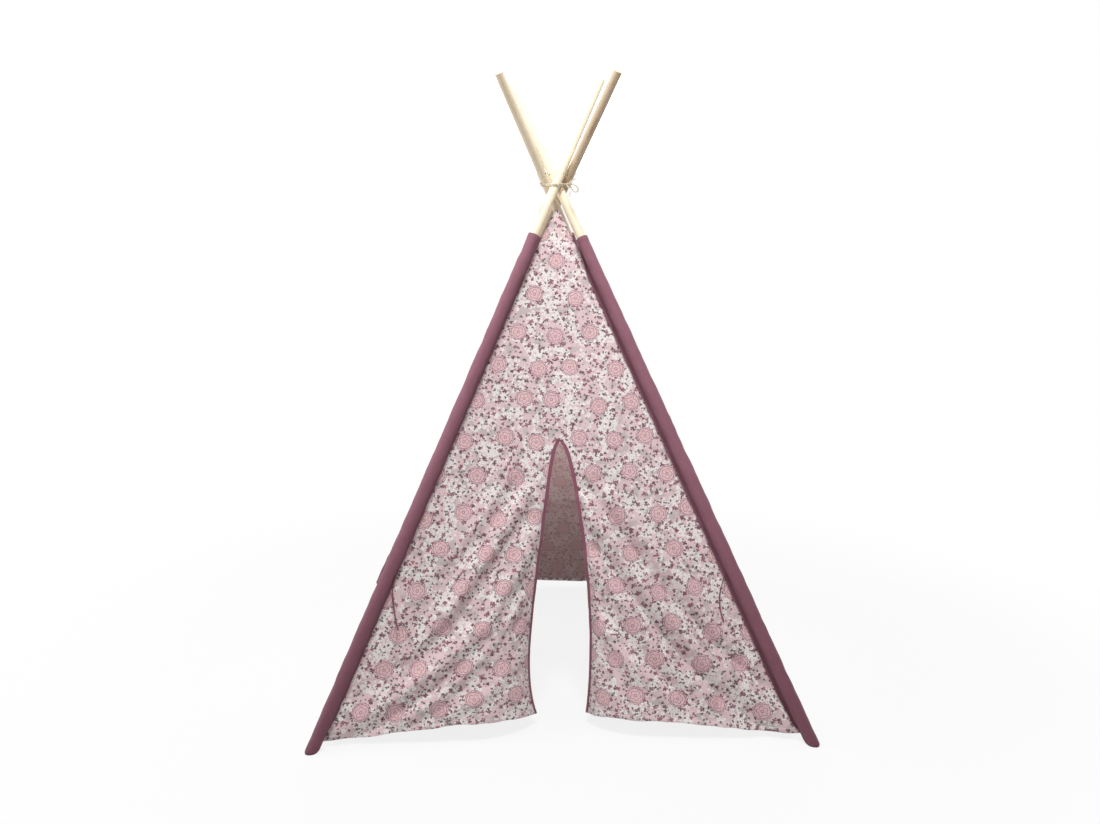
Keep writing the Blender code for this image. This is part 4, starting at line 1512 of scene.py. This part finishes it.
# outline of a sleeve's section at local X and Y
def sleeveSection(full, lap):
    sizes = sleeveSizes
    radius = frameSizes["sleeveRadius"]
    reach = frameSizes["flangeWidth"] * full
    root, tip = radius + reach * sizes["rootShare"], radius + reach
    first = sizes["rootAngle"]
    tubeX, tubeY = radius * math.cos(first), radius * math.sin(first)
    tipY, middleY, rootY = [sizes["seamHalf"] * share for share in sizes["seamShares"]]
    near, far = sizes["sweepShares"]
    side = [(tip + sizes["tipRound"], 0.0), (tip, tipY)]
    side += [(root + (tip - root) * 0.5, middleY), (root, rootY)]
    side.append(((root * 2 + tubeX) / 3, (rootY * 2 + tubeY * near) / 3))
    side.append(((root + tubeX * 2) / 3, (rootY + tubeY * far) / 3))
    tube = []
    for i in range(sizes["tubeSteps"] + 1):
        angle = first + (2 * math.pi - 2 * first) * i / sizes["tubeSteps"]
        tube.append((radius * math.cos(angle), radius * math.sin(angle)))
    mirrored = [(x, -y) for x, y in reversed(side[1:])]
    if lap:
        way, lift = lap
        seam = Vector(side[1])
        laid = [
            tuple(seam + way * sizes["lapWidth"] * full * run + lift * (sizes["lapLift"] * up))
            for run, up in sizes["lapSteps"]
        ]
        side = side[:1] + laid + side[2:]
    return side + tube + mirrored


# rings from the closed foot up to the hem at the top and down inside it, each with its kind
def sleeveLevels(foot, top):
    sizes = sleeveSizes
    start, hem = foot + sizes["tubeStart"], top - sizes["hemLength"]
    count = round((top - start) / sizes["ringStep"])
    tube = [start + (top - start) * i / count for i in range(count)]
    levels = [("floor", share) for share in sizes["floorShares"]]
    levels += [("rim", height) for height in sizes["rimHeights"]]
    levels += [("tube", level) for level in tube if level < hem - sizes["ringStep"] / 3]
    levels += [("tube", hem - sizes["hemStep"]), ("hem", hem), ("hem", top - sizes["hemLength"] * 0.5)]
    levels += [("hem", top - sizes["lipStep"]), ("lip", top)]
    levels += [("inside", top - sizes["insideStep"]), ("inside", hem)]
    return levels


# how far the loose cloth stands out from the tube
def wrinkleSwell(level, angle, seed):
    look = wrinkleLook
    around = Vector((math.cos(angle), math.sin(angle), 0)) * look["bagAround"]
    spot = around + Vector((0, 0, level * look["bagScale"] + seed))
    swell = look["bag"] * (look["bagShare"] + noise.noise(spot))
    swell += look["wrinkle"] * noise.noise(spot * look["wrinkleScale"])
    drift = look["foldDrift"] * noise.noise(Vector((seed, 0, level * look["driftScale"])))
    patch = noise.noise(Vector((seed, 4, level * look["patchScale"]))) + look["patchShare"]
    fold = math.sin(level * look["foldScale"] + angle * look["foldSlant"] + drift)
    return swell + look["fold"] * fold * max(0.0, patch)


# how far the seam wanders aside
def seamSway(level, seed):
    look = wrinkleLook
    drift = look["swayDrift"] * noise.noise(Vector((seed, 9, level * look["swayDriftScale"])))
    return look["sway"] * math.sin(level * look["swayScale"] + drift)


def addSleeve(corner):
    sizes = sleeveSizes
    matrix = poleMatrix(corner)
    top = -(frameSizes["sleeveTopBelowCross"] + sizes["topSlips"][corner]) / matrix[2][2]
    foot = localZAt(matrix, 0, 0)
    seed = wrinkleLook["seedStep"] * list(cornerSigns).index(corner)
    lap = lapLines(matrix) if corner == "front_right" else None
    places, flat = [], []
    levels = sleeveLevels(foot, top)
    for kind, value in levels:
        level = foot if kind in ("floor", "rim") else value
        share = max(0.0, (level - top + sizes["taper"]) / sizes["taper"])
        full = (1 + (sizes["topShare"] - 1) * share) * seamShare((level - foot) * matrix[2][2])
        section = sleeveSection(full, lap)
        girth = [0.0]
        for (x0, y0), (x1, y1) in zip(section, section[1:] + section[:1]):
            girth.append(girth[-1] + math.hypot(x1 - x0, y1 - y0))
        for k, (x, y) in enumerate(section):
            angle, reach = math.atan2(y, x), math.hypot(x, y)
            tube = unit((abs(angle) - sizes["tubeAngle"]) / sizes["tubeTurn"])
            swell = wrinkleSwell(level, angle, seed) + (sizes["hemBulge"] if kind in ("hem", "lip") else 0)
            if kind == "inside":
                reach -= sizes["cloth"]
            elif kind == "floor":
                reach *= value * sizes["footShare"]
            elif tube > 0:
                reach = max(sizes["leastRadius"], reach + swell * tube)
            if kind == "rim":
                reach *= 1 - (1 - sizes["footShare"]) * (1 - min(1.0, value / sizes["footRound"])) ** 2
            localX, localY = reach * math.cos(angle), reach * math.sin(angle)
            localY += (1 - tube) * seamSway(level, seed)
            if kind in ("floor", "rim"):
                up = (value if kind == "rim" else 0) + sizes["floorClear"]
                localZ = localZAt(matrix, localX, up)
            else:
                low = localZAt(matrix, localX, sizes["leastTube"])
                localZ = max(level, low) if level < foot + sizes["tubeStretch"] else level
            places.append(matrix @ Vector((localX, localY, localZ)))
            along = localZ if kind != "inside" else 2 * top - localZ
            flat.append((girth[k] / girth[-1] * sizes["girth"], along - top))
    around = len(section)
    faces = gridFaces(len(levels), around, closed=True)
    places.append(sum(places[:around], Vector()) / around)
    flat.append((0, foot - top))
    faces += [(len(places) - 1, (k + 1) % around, k) for k in range(around)]
    obj = meshFrom(f"sleeve_{corner}_cloth", places, faces, flat, sleevePlum)
    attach(obj, f"pole_{corner}")
    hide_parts(f"sleeve_{corner}")
    return obj, top - foot


sleeves = {corner: addSleeve(corner) for corner in cornerSigns}
print("sleeves drawn over the poles")

# ties, sewn on the seams of the front poles; shares are sideways, down, and what is left of the
# stitch's lift
tieSizes = {
    "height": 0.375,
    "width": 0.004,
    "thickness": 0.0013,
    "step": 0.002,
    "around": 16,
    "clearance": 0.0003,
    # from the panel's middle to the ribbon's face: half the cloth and a gap
    "restGap": 0.0013,
    # the cut ends narrow to this share, and widen again at this rate
    "endShare": 0.55,
    "endRate": 2.25,
    "left": {"length": 0.135, "corner": "front_left", "turns": 1.1, "shares": [
        (0, 0, 1), (-0.05, 0.2, 0.6), (-0.03, 0.5, 0.2), (0.02, 0.8, 0.05), (0.07, 0.98, 0),
    ]},
    "right": {"length": 0.128, "corner": "front_right", "turns": 1.6, "shares": [
        (0, 0, 1), (-0.08, 0.25, 0.6), (-0.14, 0.5, 0.2), (-0.13, 0.75, 0.05), (-0.08, 0.97, 0),
    ]},
}


def tieRoute(facts):
    matrix = poleMatrix(facts["corner"])
    stitchX = frameSizes["sleeveRadius"] + frameSizes["flangeWidth"] / 2
    localZ = localZAt(matrix, stitchX, tieSizes["height"])
    sign = 1 if facts["corner"] == "front_right" else -1
    lift = sleeveSizes["seamHalf"] * sleeveSizes["seamShares"][2]
    lift += tieSizes["clearance"] + tieSizes["width"] / 2
    stitch = matrix @ Vector((stitchX, sign * lift, localZ))
    inward, across = panelNormals["front"], panelRow("front", frameSizes["hemHeight"])[1]
    down = inward.cross(across).normalized()
    above = (seamPoint(facts["corner"], tieSizes["height"]) - stitch).dot(inward)
    rest = tieSizes["restGap"] + tieSizes["width"] / 2
    route = []
    for sideways, fall, share in facts["shares"]:
        place = stitch + across * sideways * facts["length"] + down * fall * facts["length"]
        route.append(place + inward * (above - rest - (above - rest) * share))
    return smoothRoute(route, tieSizes["step"])


def addTie(label):
    facts = tieSizes[label]
    route = tieRoute(facts)
    length = routeLength(route)

    def ribbon(along, angle):
        turn = facts["turns"] * math.pi * (along / length - 0.5) * math.sin(math.pi * along / length)
        near = min(along, length - along) / tieSizes["width"]
        end = min(1.0, tieSizes["endShare"] + tieSizes["endRate"] * near)
        x = tieSizes["width"] / 2 * math.cos(angle) * end
        y = tieSizes["thickness"] / 2 * math.sin(angle)
        return x * math.cos(turn) - y * math.sin(turn), x * math.sin(turn) + y * math.cos(turn)

    name = f"tie_{label}_ribbon"
    tie = addTube(name, route, ribbon, tieSizes["around"], ribbonPlum, side=Vector((1, 0, 0)))
    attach(tie, f"pole_{facts['corner']}")
    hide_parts(f"tie_{label}")


for label in ("left", "right"):
    addTie(label)
print("ties hung")

# the size each cloth piece was cut to, worked out and not kept
for (side, sign), piece in coverPieces.items():
    declareSheet(piece)
for label, flap in flaps.items():
    declareSheet(flap)
for label, (binding, size) in bindings.items():
    size = tuple(round(length, 3) for length in size)
for corner, (sleeve, length) in sleeves.items():  # a sewn tube, laid flat
    size = (sleeveSizes["girth"] / 2, round(length, 3))

# floor, backdrop and lights
stageLook = {
    "floorSize": 60.0,
    "floorColour": (0.66, 0.66, 0.66, 1),
    "floorGlow": 0.84,
    "glowNear": 0.9,
    "glowFar": 2.0,
    "ambient": 0.25,
    "lights": [
        ("keyLight", (0.0, -1.05, 3.6), 0.6, 93.0, (0.0, -0.25, 0.7)),
        ("frontLight", (-0.7, -4.2, 2.2), 2.4, 19.0, (0.0, 0.0, 0.9)),
        ("leftLight", (-3.4, -0.1, 2.2), 1.8, 72.0, (0.0, 0.0, 0.7)),
        ("rimLight", (0.4, 3.2, 2.6), 2.2, 42.0, (0.0, 0.0, 0.7)),
        ("rightLight", (3.4, 1.4, 2.2), 1.8, 24.0, (0.0, 0.0, 0.6)),
        ("innerLight", (0.0, -0.1, 0.62), 0.1, 1.9, (0.0, 0.5, 0.3)),
    ],
}


def seenByCamera(tree):
    rays = node(tree, "LightPath").outputs
    both = apply("MAXIMUM", Field(tree, rays["Is Camera Ray"]), Field(tree, rays["Is Glossy Ray"]))
    return apply("MAXIMUM", both, Field(tree, rays["Is Transmission Ray"]))


# matte floor that glows white further out, but keeps the shadow close by
def addFloor():
    half = stageLook["floorSize"] / 2
    mesh = bpy.data.meshes.new("paleFloor")
    corners = [(x * half, y * half, 0) for x, y in cornerSigns.values()]
    mesh.from_pydata(corners, [], [(0, 1, 2, 3)])
    floor = bpy.data.objects.new("paleFloor", mesh)
    scene.collection.objects.link(floor)
    material = bpy.data.materials.new("paleFloor")
    material.use_nodes = True
    tree = material.node_tree
    tree.nodes.clear()
    matte = field(tree, "BsdfDiffuse", {"Color": stageLook["floorColour"]})
    glow = field(tree, "Emission", {"Strength": 1.0})
    near, far = stageLook["glowNear"], stageLook["glowFar"]
    away = lengthOf(field(tree, "TexCoord", output="Object"))
    full = 1.0 - inside(away, (near + far) / 2, (far - near) / 2) * (1 - stageLook["floorGlow"])
    shown = field(tree, "MixShader", {"Fac": seenByCamera(tree) * full, 1: matte, 2: glow})
    node(tree, "OutputMaterial", {"Surface": shown})
    mesh.materials.append(material)


def addWorld():
    scene.world = bpy.data.worlds.new("studio")
    scene.world.use_nodes = True
    tree = scene.world.node_tree
    shader = tree.nodes["Background"].inputs
    shader["Color"].default_value = (1, 1, 1, 1)
    ambient = stageLook["ambient"]
    plug(tree, shader["Strength"], seenByCamera(tree) * (1 - ambient) + ambient)


def addLights():
    for name, place, wide, power, aim in stageLook["lights"]:
        data = bpy.data.lights.new(name, "AREA")
        data.shape = "SQUARE"
        data.size = wide
        data.energy = power
        lamp = bpy.data.objects.new(name, data)
        lamp.location = place
        lamp.rotation_euler = (Vector(aim) - Vector(place)).to_track_quat("-Z", "Y").to_euler()
        lamp.visible_camera = name != "innerLight"
        scene.collection.objects.link(lamp)


addFloor()
addWorld()
addLights()
scene.view_settings.view_transform = "Standard"
print("stage set")
